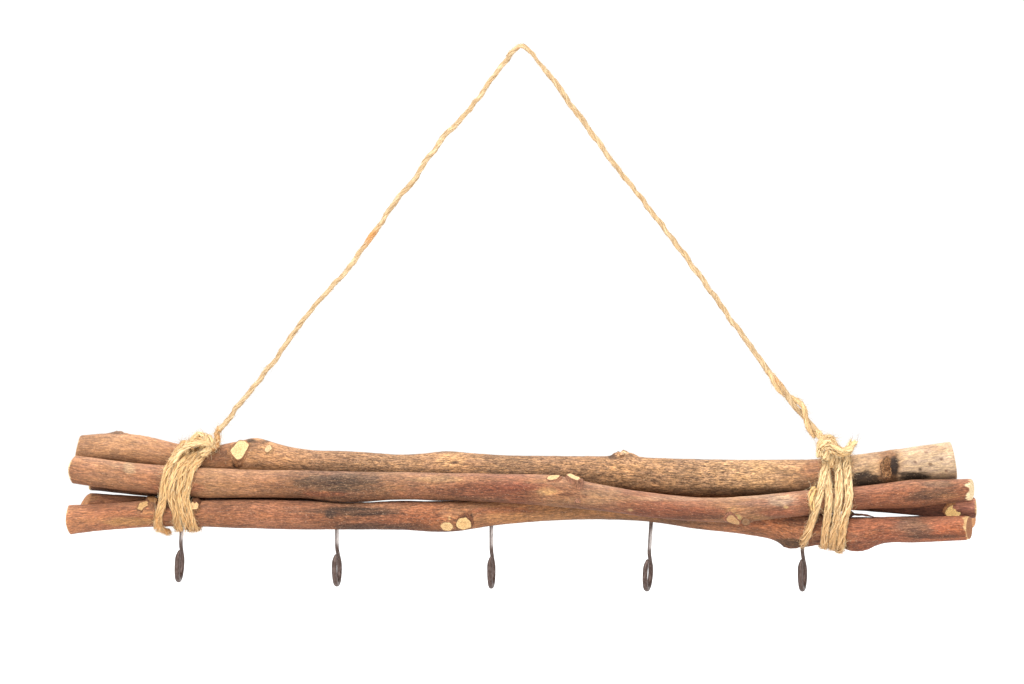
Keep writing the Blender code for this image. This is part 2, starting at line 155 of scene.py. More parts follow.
class Soup:
    """Pieces of surface gathered into one mesh: vertices, faces and attributes."""

    def __init__(self):
        self.verts, self.quads, self.tris, self.attrs = [], [], [], {}
        self.count = 0

    def add(self, verts, quads, tris, attrs):
        verts = np.asarray(verts, float)
        if len(quads):
            self.quads.append(np.asarray(quads) + self.count)
        if len(tris):
            self.tris.append(np.asarray(tris) + self.count)
        for key, values in attrs.items():
            self.attrs.setdefault(key, []).append(np.asarray(values, float))
        self.verts.append(verts)
        self.count += len(verts)

    def make(self, name, mat):
        quads = np.concatenate(self.quads) if self.quads else np.zeros((0, 4), int)
        tris = np.concatenate(self.tris) if self.tris else np.zeros((0, 3), int)
        attrs = {k: np.concatenate(v) for k, v in self.attrs.items()}
        obj = build_mesh(name, np.concatenate(self.verts), [quads, tris], mat, attrs)
        return obj


def grid_quads(rings, sides, outward=True):
    j = np.arange(rings - 1)[:, None]
    k = np.arange(sides)[None, :]
    n = (k + 1) % sides
    a, b = j * sides + k, j * sides + n
    c, d = (j + 1) * sides + n, (j + 1) * sides + k
    q = np.stack([a, b, c, d], axis=-1).reshape(-1, 4)
    return q if outward else q[:, ::-1]


def ring_fan(first, sides, centre, outward=True):
    k = np.arange(sides)
    t = np.stack([first + k, first + (k + 1) % sides, np.full(sides, centre)], axis=1)
    return t if outward else t[:, ::-1]


# ------------------------------------------------------------------------------------
# materials
# ------------------------------------------------------------------------------------
class Nodes:
    """A short way to write a node tree."""

    def __init__(self, mat):
        self.tree = mat.node_tree
        self.nodes = mat.node_tree.nodes
        self.shader = self.nodes["Principled BSDF"]

    def link(self, a, b):
        self.tree.links.new(a, b)

    def new(self, kind, **props):
        node = self.nodes.new(kind)
        for key, value in props.items():
            setattr(node, key, value)
        return node

    def attribute(self, name):
        return self.new("ShaderNodeAttribute", attribute_type="GEOMETRY", attribute_name=name)

    def noise(self, vector, scale, stretch=(1, 1, 1), detail=2.0, rough=0.55, distortion=0.0):
        mapping = self.new("ShaderNodeMapping")
        mapping.inputs["Scale"].default_value = stretch
        self.link(vector, mapping.inputs["Vector"])
        node = self.new("ShaderNodeTexNoise")
        node.inputs["Scale"].default_value = scale
        node.inputs["Detail"].default_value = detail
        node.inputs["Roughness"].default_value = rough
        node.inputs["Distortion"].default_value = distortion
        self.link(mapping.outputs["Vector"], node.inputs["Vector"])
        return node.outputs["Fac"]

    def math(self, op, a, b=None, c=None, clamp=False):
        node = self.new("ShaderNodeMath", operation=op, use_clamp=clamp)
        for socket, value in zip(node.inputs, (a, b, c)):
            if value is None:
                continue
            if isinstance(value, (int, float)):
                socket.default_value = value
            else:
                self.link(value, socket)
        return node.outputs[0]

    def ramp(self, value, low, high, out_low=0.0, out_high=1.0, smooth_step=True):
        node = self.new("ShaderNodeMapRange", clamp=True,
                        interpolation_type="SMOOTHSTEP" if smooth_step else "LINEAR")
        for key, number in (("From Min", low), ("From Max", high), ("To Min", out_low), ("To Max", out_high)):
            node.inputs[key].default_value = number
        self.link(value, node.inputs["Value"])
        return node.outputs["Result"]

    def mix(self, factor, a, b, blend="MIX"):
        node = self.new("ShaderNodeMix", data_type="RGBA", blend_type=blend, clamp_factor=True)
        for socket, value in ((node.inputs[0], factor), (node.inputs[6], a), (node.inputs[7], b)):
            if isinstance(value, (int, float)):
                socket.default_value = value
            elif isinstance(value, (tuple, list, np.ndarray)):
                socket.default_value = (*(float(v) for v in value[:3]), 1.0)
            else:
                self.link(value, socket)
        return node.outputs[2]

    def scaled(self, color, value):
        """color times a grey value."""
        node = self.new("ShaderNodeVectorMath", operation="SCALE")
        self.link(color, node.inputs[0])
        if isinstance(value, (int, float)):
            node.inputs["Scale"].default_value = value
        else:
            self.link(value, node.inputs["Scale"])
        return node.outputs[0]

    def separate(self, vector):
        node = self.new("ShaderNodeSeparateXYZ")
        self.link(vector, node.inputs[0])
        return node.outputs

    def bump(self, height, strength, distance):
        node = self.new("ShaderNodeBump")
        node.inputs["Strength"].default_value = strength
        node.inputs["Distance"].default_value = distance
        self.link(height, node.inputs["Height"])
        self.link(node.outputs["Normal"], self.shader.inputs["Normal"])


def new_material(name):
    mat = bpy.data.materials.new(name)
    mat.use_nodes = True
    return mat, Nodes(mat)


BARK_GAIN = 0.665
JUTE_GAIN = 0.86


def bark_material(name, dash_color, speck_color, grain=1.0, fineness=1.0, warm=(1.04, 1.02, 0.94), cool=(0.97, 0.97, 1.02)):
    """Bark and cut wood. Attributes: Col the painted colour, pos the place along and round the
    branch in mm, data (cut wood, dashes, specks)."""
    mat, n = new_material(name)
    col = n.attribute("Col").outputs["Color"]
    pos = n.attribute("pos").outputs["Vector"]
    data = n.separate(n.attribute("data").outputs["Vector"])
    cut, dash, speck = data[0], data[1], data[2]

    grain_a = n.noise(pos, fineness, (0.09, 0.50, 0.50), 3.0, 0.6)
    grain_b = n.noise(pos, fineness, (0.20, 1.25, 1.25), 2.0, 0.6)
    grain_c = n.noise(pos, fineness, (0.55, 1.9, 1.9), 2.0, 0.6)
    blotch = n.noise(pos, 1.0, (0.05, 0.16, 0.16), 2.0, 0.5)
    hue = n.noise(pos, 1.0, (0.11, 0.42, 0.42), 3.0, 0.6)
    streak = n.noise(pos, fineness, (0.24, 1.45, 1.45), 2.0, 0.65, 0.3)
    crack = n.noise(pos, fineness, (0.45, 1.7, 1.7), 1.0, 0.5)
    fine = n.noise(pos, 1.0, (2.8, 4.4, 4.4), 2.0, 0.6)
    dots = n.noise(pos, fineness, (0.85, 1.35, 1.35), 1.0, 0.5)

    # light and dark grain multiplies the painted colour
    def part(value, amount, low=0.32, high=0.68):
        return n.ramp(value, low, high, 1 - amount * grain, 1 + 0.85 * amount * grain, smooth_step=False)

    light = n.math("MULTIPLY", part(grain_a, 0.18), part(grain_b, 0.50))
    light = n.math("MULTIPLY", light, part(grain_c, 0.42))
    light = n.math("MULTIPLY_ADD", n.math("SUBTRACT", light, 1.0), n.math("MULTIPLY_ADD", dash, 0.45, 0.55), 1.0)
    light = n.math("MULTIPLY", light, part(blotch, 0.14))
    tinted = n.mix(n.ramp(n.math("MULTIPLY_ADD", grain_b, 0.5, n.math("MULTIPLY", hue, 0.5)), 0.40, 0.60), cool, warm)
    bark = n.mix(1.0, col, tinted, "MULTIPLY")
    bark = n.scaled(bark, light)
    dashes = n.math("MULTIPLY", n.ramp(streak, 0.535, 0.615), dash)
    bark = n.mix(n.math("MULTIPLY", dashes, 0.72), bark, dash_color)
    cracks = n.math("MULTIPLY", n.ramp(crack, 0.66, 0.73), n.math("MULTIPLY_ADD", dash, 0.7, 0.3))
    bark = n.mix(n.math("MULTIPLY", cracks, 0.6), bark, dash_color)
    specks = n.math("MULTIPLY", n.ramp(dots, 0.63, 0.72), speck)
    bark = n.mix(n.math("MULTIPLY", specks, 0.55), bark, speck_color)

    # growth rings and saw marks on cut wood
    parts = n.separate(pos)
    radius = n.math("SQRT", n.math("ADD", n.math("MULTIPLY", parts[1], parts[1]), n.math("MULTIPLY", parts[2], parts[2])))
    wobble = n.noise(pos, 1.0, (0.5, 0.5, 0.5), 2.0)
    rings = n.math("SINE", n.math("MULTIPLY_ADD", radius, 7.5, n.math("MULTIPLY", wobble, 9.0)))
    ring_light = n.math("MULTIPLY_ADD", rings, 0.10, 1.0)
    saw = n.noise(pos, 1.0, (0.5, 0.8, 3.2), 2.0, 0.6)
    ring_light = n.math("MULTIPLY", ring_light, n.ramp(saw, 0.3, 0.7, 0.66, 1.24, smooth_step=False))
    ring_light = n.math("MULTIPLY", ring_light, n.ramp(fine, 0.3, 0.7, 0.86, 1.12, smooth_step=False))
    wood = n.scaled(col, ring_light)
    wood = n.scaled(wood, n.ramp(grain_c, 0.3, 0.7, 0.84, 1.14, smooth_step=False))
    wood = n.mix(n.math("MULTIPLY", n.ramp(crack, 0.58, 0.70), 0.65), wood, rgb(168, 112, 66) * BARK_GAIN)
    color = n.mix(cut, bark, wood)
    n.link(color, n.shader.inputs["Base Color"])

    height = n.math("MULTIPLY_ADD", grain_a, 0.7, n.math("MULTIPLY", grain_b, 0.8))
    height = n.math("ADD", height, n.math("MULTIPLY", fine, 0.3))
    height = n.math("SUBTRACT", height, n.math("MULTIPLY", dashes, 0.6))
    height = n.math("SUBTRACT", height, n.math("MULTIPLY", cracks, 0.5))
    height = n.math("ADD", n.math("MULTIPLY", height, n.math("SUBTRACT", 1.0, cut)),
                    n.math("MULTIPLY", n.math("MULTIPLY_ADD", saw, 0.7, n.math("MULTIPLY", rings, 0.06)), cut))
    n.bump(height, 0.65, 0.0003)
    rough = n.math("MULTIPLY_ADD", grain_b, 0.3, 0.6)
    n.link(rough, n.shader.inputs["Roughness"])
    n.shader.inputs["Specular IOR Level"].default_value = 0.28
    return mat


def jute_material(name):
    """Jute fibres. Attributes: Col the painted colour, fib the place along and round a ply in mm."""
    mat, n = new_material(name)
    col = n.attribute("Col").outputs["Color"]
    fib = n.attribute("fib").outputs["Vector"]
    coarse = n.noise(fib, 1.0, (0.16, 1.25, 1.25), 2.0, 0.6)
    fine = n.noise(fib, 1.0, (0.30, 2.4, 2.4), 2.0, 0.62)
    hair = n.noise(fib, 1.0, (0.5, 6.5, 6.5), 2.0, 0.6)
    patch = n.noise(fib, 1.0, (0.13, 0.5, 0.5), 2.0)
    light = n.ramp(coarse, 0.30, 0.70, 0.79, 1.17, smooth_step=False)
    light = n.math("MULTIPLY", light, n.ramp(fine, 0.30, 0.70, 0.77, 1.20, smooth_step=False))
    light = n.math("MULTIPLY", light, n.math("MULTIPLY_ADD", n.math("SUBTRACT", hair, 0.5), 0.5, 1.0))
    light = n.math("MULTIPLY", light, n.math("MULTIPLY_ADD", n.math("SUBTRACT", patch, 0.5), 0.4, 1.0))
    base = n.scaled(col, light)
    dark = n.ramp(fine, 0.42, 0.30)
    base = n.mix(n.math("MULTIPLY", dark, 0.5), base, rgb(168, 112, 58) * JUTE_GAIN)
    pale = n.ramp(coarse, 0.56, 0.68)
    base = n.mix(n.math("MULTIPLY", pale, 0.32), base, rgb(255, 236, 196) * JUTE_GAIN)
    n.link(base, n.shader.inputs["Base Color"])
    height = n.math("MULTIPLY_ADD", fine, 1.0, n.math("MULTIPLY", hair, 0.5))
    n.bump(height, 0.7, 0.0003)
    n.link(n.math("MULTIPLY_ADD", hair, 0.25, 0.62), n.shader.inputs["Roughness"])
    n.shader.inputs["Specular IOR Level"].default_value = 0.3
    n.shader.inputs["Sheen Weight"].default_value = 0.12
    n.shader.inputs["Sheen Roughness"].default_value = 0.5
    return mat


def metal_material(name):
    mat, n = new_material(name)
    coords = n.new("ShaderNodeTexCoord").outputs["Object"]
    cloud = n.noise(coords, 900.0, (1, 1, 0.5), 3.0, 0.6)
    pits = n.noise(coords, 4200.0, (1, 1, 1), 2.0, 0.6)
    base = n.mix(n.ramp(cloud, 0.35, 0.7), rgb(74, 58, 52), rgb(104, 88, 82))
    base = n.mix(n.math("MULTIPLY", n.ramp(pits, 0.58, 0.72), 0.6), base, rgb(50, 38, 34))
    # painted highlight: the straight shank is painted near white, most on its side turned to +X, standing in for a
    # reflection of the bright surroundings
    shank_highlight = n.separate(n.attribute("shank_highlight").outputs["Vector"])[0]
    base = n.mix(n.math("MULTIPLY", shank_highlight, n.ramp(cloud, 0.25, 0.6, 0.45, 0.85)), base, rgb(204, 196, 192))
    n.link(base, n.shader.inputs["Base Color"])
    n.shader.inputs["Metallic"].default_value = 0.55
    n.shader.inputs["Specular IOR Level"].default_value = 0.3
    n.link(n.math("MULTIPLY_ADD", cloud, 0.3, 0.3), n.shader.inputs["Roughness"])
    n.bump(n.math("MULTIPLY_ADD", pits, 0.6, cloud), 0.25, 0.0001)
    return mat


# ------------------------------------------------------------------------------------
# branches
# ------------------------------------------------------------------------------------
# Stations in millimetres: along X, depth Y, height Z, radius.
STICK_TOP = [
    (-242.8, 4.0, -221.5, 8.2), (-226.0, 3.0, -220.6, 8.5), (-204.0, 2.5, -222.8, 8.2),
    (-176.6, 2.5, -227.2, 8.0), (-157.3, 2.4, -225.8, 9.0), (-146.3, 2.4, -224.9, 9.8),
    (-135.3, 2.6, -226.4, 8.8), (-121.6, 3.0, -229.1, 8.5), (-94.0, 3.6, -230.5, 8.5),
    (-66.6, 4.0, -232.4, 8.5), (-39.0, 3.8, -231.6, 9.0), (-11.6, 3.8, -233.2, 9.1),
    (21.5, 3.4, -234.0, 9.3), (54.5, 2.8, -234.6, 9.6), (76.5, 2.6, -236.0, 10.1),
    (98.5, 2.4, -236.8, 10.6), (131.5, 2.2, -236.8, 10.4), (162.8, 1.8, -236.2, 10.1),
    (181.0, 1.4, -234.0, 10.1), (197.5, 1.2, -232.1, 10.3), (214.0, 1.0, -229.6, 10.1),
    (239.0, -0.5, -226.7, 10.5),
]
STICK_MIDDLE = [
    (-249.0, -9.2, -231.4, 7.4), (-231.6, -9.4, -233.5, 7.6), (-209.6, -9.7, -236.2, 7.6),
    (-176.6, -10.0, -238.8, 8.0), (-149.0, -10.2, -239.3, 7.3), (-121.6, -10.5, -239.6, 7.3),
    (-94.0, -10.8, -240.8, 8.0), (-66.6, -11.2, -240.4, 7.4), (-39.0, -12.2, -240.8, 7.2),
    (-11.6, -13.6, -241.6, 7.7), (18.7, -15.2, -243.1, 8.4), (43.5, -15.7, -246.8, 7.2),
    (71.0, -15.7, -250.9, 6.6), (98.5, -15.5, -253.4, 6.4), (120.5, -15.1, -253.3, 6.9),
    (142.5, -14.2, -251.4, 6.8), (156.2, -12.8, -250.0, 6.8), (170.0, -11.2, -248.6, 6.5),
    (182.0, -10.3, -247.5, 6.2), (200.2, -9.8, -246.1, 6.8), (214.0, -9.6, -245.1, 7.5),
    (230.0, -9.4, -243.9, 6.6), (248.0, -9.0, -242.6, 5.6),
]
STICK_BOTTOM = [
    (-250.3, -9.0, -259.1, 7.6), (-231.6, -9.2, -257.7, 7.1), (-204.0, -9.6, -255.8, 6.9),
    (-176.6, -10.0, -255.6, 7.0), (-149.0, -10.0, -255.9, 7.7), (-121.6, -10.0, -256.6, 7.8),
    (-94.0, -10.0, -257.2, 7.3), (-66.6, -9.8, -256.8, 7.7), (-39.0, -8.2, -257.3, 8.3),
    (-11.6, -5.2, -254.9, 6.9), (18.7, -1.7, -252.5, 7.1), (43.5, -1.0, -251.7, 7.2),
    (71.0, -1.0, -253.1, 7.2), (98.5, -1.0, -256.9, 7.3), (123.2, -1.0, -259.4, 7.7),
    (139.7, -1.4, -261.6, 8.4), (150.7, -2.3, -263.7, 9.6), (156.5, -3.2, -264.0, 9.6),
    (168.0, -7.0, -264.4, 8.0), (185.4, -8.6, -267.0, 8.4), (200.2, -8.9, -264.9, 6.7),
    (219.5, -9.0, -264.6, 6.6), (246.5, -9.0, -263.7, 6.3),
]
STICK_REAR_UPPER = [
    (-238.2, 7.2, -237.2, 5.8), (-204.0, 7.8, -240.6, 5.9), (-176.6, 9.4, -242.6, 5.9),
    (-146.3, 11.0, -244.1, 5.8), (-121.6, 12.0, -244.9, 5.8), (-94.0, 13.8, -244.6, 5.7),
    (-66.6, 15.4, -242.6, 5.6), (-39.0, 15.6, -243.7, 5.6), (-11.6, 16.4, -242.8, 5.6),
    (18.7, 17.2, -242.0, 5.6), (43.5, 17.6, -242.2, 5.6), (71.0, 17.6, -243.4, 5.6),
    (98.5, 17.2, -246.0, 5.7), (131.5, 15.4, -248.2, 5.8), (162.8, 13.2, -248.2, 5.9),
    (183.7, 10.2, -248.2, 5.9), (208.4, 6.2, -250.0, 5.9), (230.4, 1.8, -251.7, 5.7),
    (250.2, -1.8, -252.6, 5.4),
]
STICK_REAR_LOWER = [
    (-241.0, 3.4, -250.5, 5.7), (-231.6, 3.8, -251.3, 5.9), (-204.0, 4.0, -252.8, 5.9),
    (-176.6, 4.2, -254.4, 5.9), (-121.6, 4.8, -255.9, 5.9), (-66.6, 5.6, -256.0, 5.8),
    (-39.0, 7.6, -256.0, 5.8), (-11.6, 9.6, -255.4, 5.7), (18.7, 12.8, -253.8, 5.7),
    (43.5, 13.4, -253.4, 5.7), (71.0, 13.4, -254.7, 5.7), (98.5, 13.4, -258.5, 5.7),
    (131.5, 13.6, -261.8, 5.8), (153.5, 13.6, -264.0, 5.9), (167.0, 11.4, -264.4, 5.9),
    (185.4, 8.6, -264.4, 5.9), (208.4, 7.6, -264.0, 5.8), (230.4, 7.4, -262.3, 5.5),
    (249.0, 7.6, -259.0, 5.2),
]
ALL_STICKS = (STICK_TOP, STICK_MIDDLE, STICK_BOTTOM, STICK_REAR_UPPER, STICK_REAR_LOWER)


def stick_at(stations, x_mm):
    rows = np.array(stations)
    return hermite(rows[:, 0], rows[:, 1:], x_mm)


def tone_table(table, x_mm):
    """Painted base colour along a branch from (pixel column, r, g, b) rows."""
    rows = np.array([(px_x(r[0]), *rgb(*r[1:])) for r in table])
    return np.stack([np.interp(x_mm, rows[:, 0], rows[:, c]) for c in (1, 2, 3)], axis=1)


def paint(col, amount, color):
    amount = np.clip(amount, 0, 1)[:, None]
    return col * (1 - amount) + np.asarray(color)[None, :] * amount


def patch_mask(px, py, cx, cy, rx, ry, rough, seed, soft=0.35):
    """An ellipse with an uneven edge, 1 inside and 0 outside."""
    d = np.sqrt(((px - cx) / rx) ** 2 + ((py - cy) / ry) ** 2)
    wob = fbm(np.stack([px / 14.0, py / 3.6, np.full(len(px), seed * 1.7)], axis=1), 3, seed)
    d = d + rough * wob
    return 1 - smooth(1 - soft, 1 + soft, d)


def branch(soup, stations, seed, phase, cuts, tones, patches, sides=72, spacing=0.72, bumps=(), balance=(1, 1, 1),
           rough=1.0, dash=None, speck=0.5, palette=None, cut_colors=None, dense=(), chips=(0.6, 1.6),
           grow=0.3, round_left=(0, 0), chip_drop=0.35, face_color=None,
           painted_light_top=0.22):
    """A branch's bark and its two cut ends, added to soup.

    bumps: (pixel column, angle round the branch, half length, half width, height) in mm.
    patches: (pixel x, pixel y, rx, ry, (r, g, b), strength, edge roughness), seen from the front.
    """
    left, right = stations[0][0], stations[-1][0]
    marks = np.linspace(left, right, 4000)
    weight = np.ones(len(marks))
    for x, half in list(dense) + [(left, 3.0), (right, 3.0)]:
        weight += 0.9 * np.exp(-(((marks - x) / (half * 1.4)) ** 2))
    run = np.concatenate([[0], np.cumsum((weight[1:] + weight[:-1]) / 2 * np.diff(marks))])
    rings = int(run[-1] / spacing)
    xs = np.interp(np.linspace(0, run[-1], rings), run, marks)
    ang = np.linspace(0, 2 * math.pi, 721)
    w = 1 + 0.35 * np.sin(ang)
    acc = np.concatenate([[0], np.cumsum((w[1:] + w[:-1]) / 2 * np.diff(ang))])
    a = np.interp(np.linspace(0, acc[-1], sides, endpoint=False), acc, ang)

    yzr = stick_at(stations, xs)
    u = (xs - left) / (right - left)
    X = np.repeat(xs, sides)
    U = np.repeat(u, sides)
    A = np.tile(a, rings)
    Y0, Z0, R = (np.repeat(yzr[:, c], sides) for c in range(3))
    R0 = 7.5
    c, s = np.cos(A) * R0, np.sin(A) * R0
    uneven = 1 + 0.018 * np.sin(2 * A + 5 * U + phase) + 0.012 * np.sin(3 * A - 9 * U + 2 * phase)

    relief = 0.30 * fbm(np.stack([X / 27, c / 8, s / 8], 1), 2, seed)
    relief += 0.15 * rough * fbm(np.stack([X / 6.5, c / 2.3, s / 2.3], 1), 3, seed + 20)
    streak = 1 - np.abs(noise3(np.stack([X / 5.5, c / 1.15, s / 1.15], 1), seed + 31))
    relief += 0.085 * rough * (streak - 0.6)
    relief += 0.035 * rough * noise3(np.stack([X / 1.9, c / 0.85, s / 0.85], 1), seed + 37)
    for bx, ba, hl, hw, height in bumps:
        da = (np.degrees(A) - ba + 180) % 360 - 180
        q = ((X - px_x(bx)) / hl) ** 2 + (np.radians(da) * R / hw) ** 2
        relief += height * np.exp(-q) * (1 + 0.35 * noise3(np.stack([X / 1.7, c / 1.7, s / 1.7], 1), seed + 50))

    # bark edge: rounded over the last millimetre, chipped unevenly at the ends
    edge = np.minimum(X - left, right - X)
    rim = smooth(0.0, 0.9, edge)
    chip_noise = 0.5 + 0.55 * fbm(np.stack([np.where(X < 0, 3.1, 9.7), c / 5.2, s / 5.2], 1), 2, seed + 61)
    chip_noise = chip_noise + 0.10 * noise3(np.stack([X * 0 + 4.4, c / 1.3, s / 1.3], 1), seed + 63)
    chip_len = np.where(X < 0, chips[0], chips[1]) * np.clip(chip_noise * 2.4 - 0.7, 0.04, 2.2)
    bare = 1 - smooth(chip_len - 0.3, chip_len + 0.3, edge + 0.3 * noise3(np.stack([X / 0.9, c / 0.9, s / 0.9], 1), seed + 64))
    relief = relief * (0.35 + 0.65 * rim) - chip_drop * bare - 0.22 * (1 - rim)

    rad = R * uneven + relief + grow
    dy, dz = -np.sin(A) * rad * 0.97, np.cos(A) * rad * 0.985
    near_l, near_r = np.clip(1 - (X - left) / 30, 0, 1), np.clip(1 - (right - X) / 30, 0, 1)
    (cl, cr) = cuts
    shift = near_l * (cl[0] * dz + cl[1] * dy) + near_r * (cr[0] * dz + cr[1] * dy)
    up = dz / R
    shift = shift + near_l**4 * (round_left[0] * np.clip(up, 0, 1) ** 2 + round_left[1] * np.clip(-up, 0, 1) ** 2)
    verts = np.stack([X + shift, Y0 + dy, Z0 + dz], 1)

    # paint
    px, py = verts[:, 0] / 0.55 + 521, 48.5 - verts[:, 2] / 0.55
    front = smooth(-0.25, 0.25, np.sin(A))
    col = tone_table(tones, X)
    big = fbm(np.stack([X / 34, c / 7, s / 7], 1), 2, seed + 70)
    mid = fbm(np.stack([X / 8, c / 2.6, s / 2.6], 1), 3, seed + 75)
    col = col * (1 + 0.16 * big + 0.20 * mid)[:, None]
    palette = palette or [((150, 84, 62), 0.5), ((112, 86, 74), 0.55), ((205, 160, 120), 0.4)]
    for k, (color, strength) in enumerate(palette):
        m = fbm(np.stack([X / 30, c / 5, s / 5], 1), 3, seed + 80 + 5 * k)
        hidden = 1 - 0.72 * front
        col = paint(col, strength * smooth(0.12, 0.5, m) * hidden, rgb(*color))
    dash_amount = np.full(len(X), 0.0)
    if dash:
        dash_amount = np.interp(px, [d[0] for d in dash], [d[1] for d in dash])
    speck_amount = np.full(len(X), speck)
    for k, (cx, cy, rx, ry, color, strength, ragged) in enumerate(patches):
        m = patch_mask(px, py, cx, cy, rx, ry, ragged, seed + 3 * k) * front * strength
        col = paint(col, m, rgb(*color))
    col = col * np.asarray(balance)
    # painted light: the upper front is painted paler and pinker, as a highlight and sheen, and the lower front darker,
    # as shade
    high = np.cos(A) * front
    col = col * (1 + painted_light_top * high)[:, None]
    col = paint(col, 0.9 * painted_light_top * np.clip(high, 0, 1) ** 1.5, rgb(222, 186, 160))
    cut = bare.copy()
    pale = rgb(*(cut_colors or (236, 206, 148))) * 1.25
    col = paint(col, bare, pale * (0.85 + 0.15 * chip_noise)[:, None].mean())
    data = np.stack([cut, dash_amount * (1 - bare), speck_amount * (1 - bare)], 1)
    pos = np.stack([X + 400 * seed, c, s], 1)
    soup.add(verts, grid_quads(rings, sides), [],
             {"Col": np.concatenate([col * BARK_GAIN, np.ones((len(X), 1))], 1), "pos": pos, "data": data})

    # cut ends: nested rings in to the pith
    if face_color:
        pale = rgb(*face_color) * 1.25
    for end, j, face_out in ((0, 0, -1), (1, rings - 1, 1)):
        rim_ids = slice(j * sides, (j + 1) * sides)
        rim_v = verts[rim_ids]
        centre = rim_v.mean(axis=0)
        shares = np.array([1.0, 0.965, 0.93, 0.87, 0.8, 0.71, 0.62, 0.53, 0.44, 0.35, 0.26, 0.17, 0.09])
        ca, sa = np.cos(a) * R0, np.sin(a) * R0
        V, C, D, P = [], [], [], []
        for share in shares:
            v = centre + (rim_v - centre) * share
            q = np.stack([np.full(sides, 5.0 * end + seed), ca * share / 1.4, sa * share / 1.4], 1)
            saw = 0.10 * noise3(q * [1, 1, 2.2], seed + 90) + 0.10 * noise3(q * 2.5, seed + 91)
            v[:, 0] += face_out * (saw * (1 - share**6) + 0.25 * (1 - share) ** 0.5 * (0.4 if end else 1.0))
            V.append(v)
            tone = pale * (0.78 if share < 0.12 else 1.0)
            base = np.tile(tone, (sides, 1))
            bark_ring = smooth(0.955, 0.985, np.full(sides, share))
            base = paint(base, bark_ring, col[rim_ids].mean(axis=0) * 0.8)
            ring = (0.86 + 0.14 * noise3(q * 1.3, seed + 93))[:, None]
            C.append(base * ring)
            D.append(np.stack([1 - bark_ring, np.zeros(sides), np.zeros(sides)], 1))
            P.append(np.stack([np.full(sides, 400.0 * seed + 37 * end), ca * share, sa * share], 1))
        V.append(centre[None] - [[face_out * 0.15, 0, 0]])
        C.append(pale[None] * 0.55)
        D.append([[1, 0, 0]])
        P.append([[400.0 * seed + 37 * end, 0, 0]])
        V, C, D, P = (np.concatenate(q) for q in (V, C, D, P))
        n = len(shares)
        quads = grid_quads(n, sides, outward=(face_out > 0))
        tris = ring_fan((n - 1) * sides, sides, n * sides, outward=(face_out > 0))
        soup.add(V, quads, tris, {
            "Col": np.concatenate([C * BARK_GAIN, np.ones((len(V), 1))], 1), "pos": P, "data": D})


def closed_outline(points, count):
    """count points spread along a closed outline, its corners slightly rounded."""
    p = np.asarray(points, float)
    q = np.concatenate([p, p[:1]])
    run = np.concatenate([[0], np.cumsum(np.linalg.norm(np.diff(q, axis=0), axis=1))])
    marks = np.linspace(0, run[-1], count, endpoint=False)
    out = np.stack([np.interp(marks, run, q[:, 0]), np.interp(marks, run, q[:, 1])], 1)
    for _ in range(2):
        out = 0.25 * np.roll(out, 1, 0) + 0.5 * out + 0.25 * np.roll(out, -1, 0)
    return out


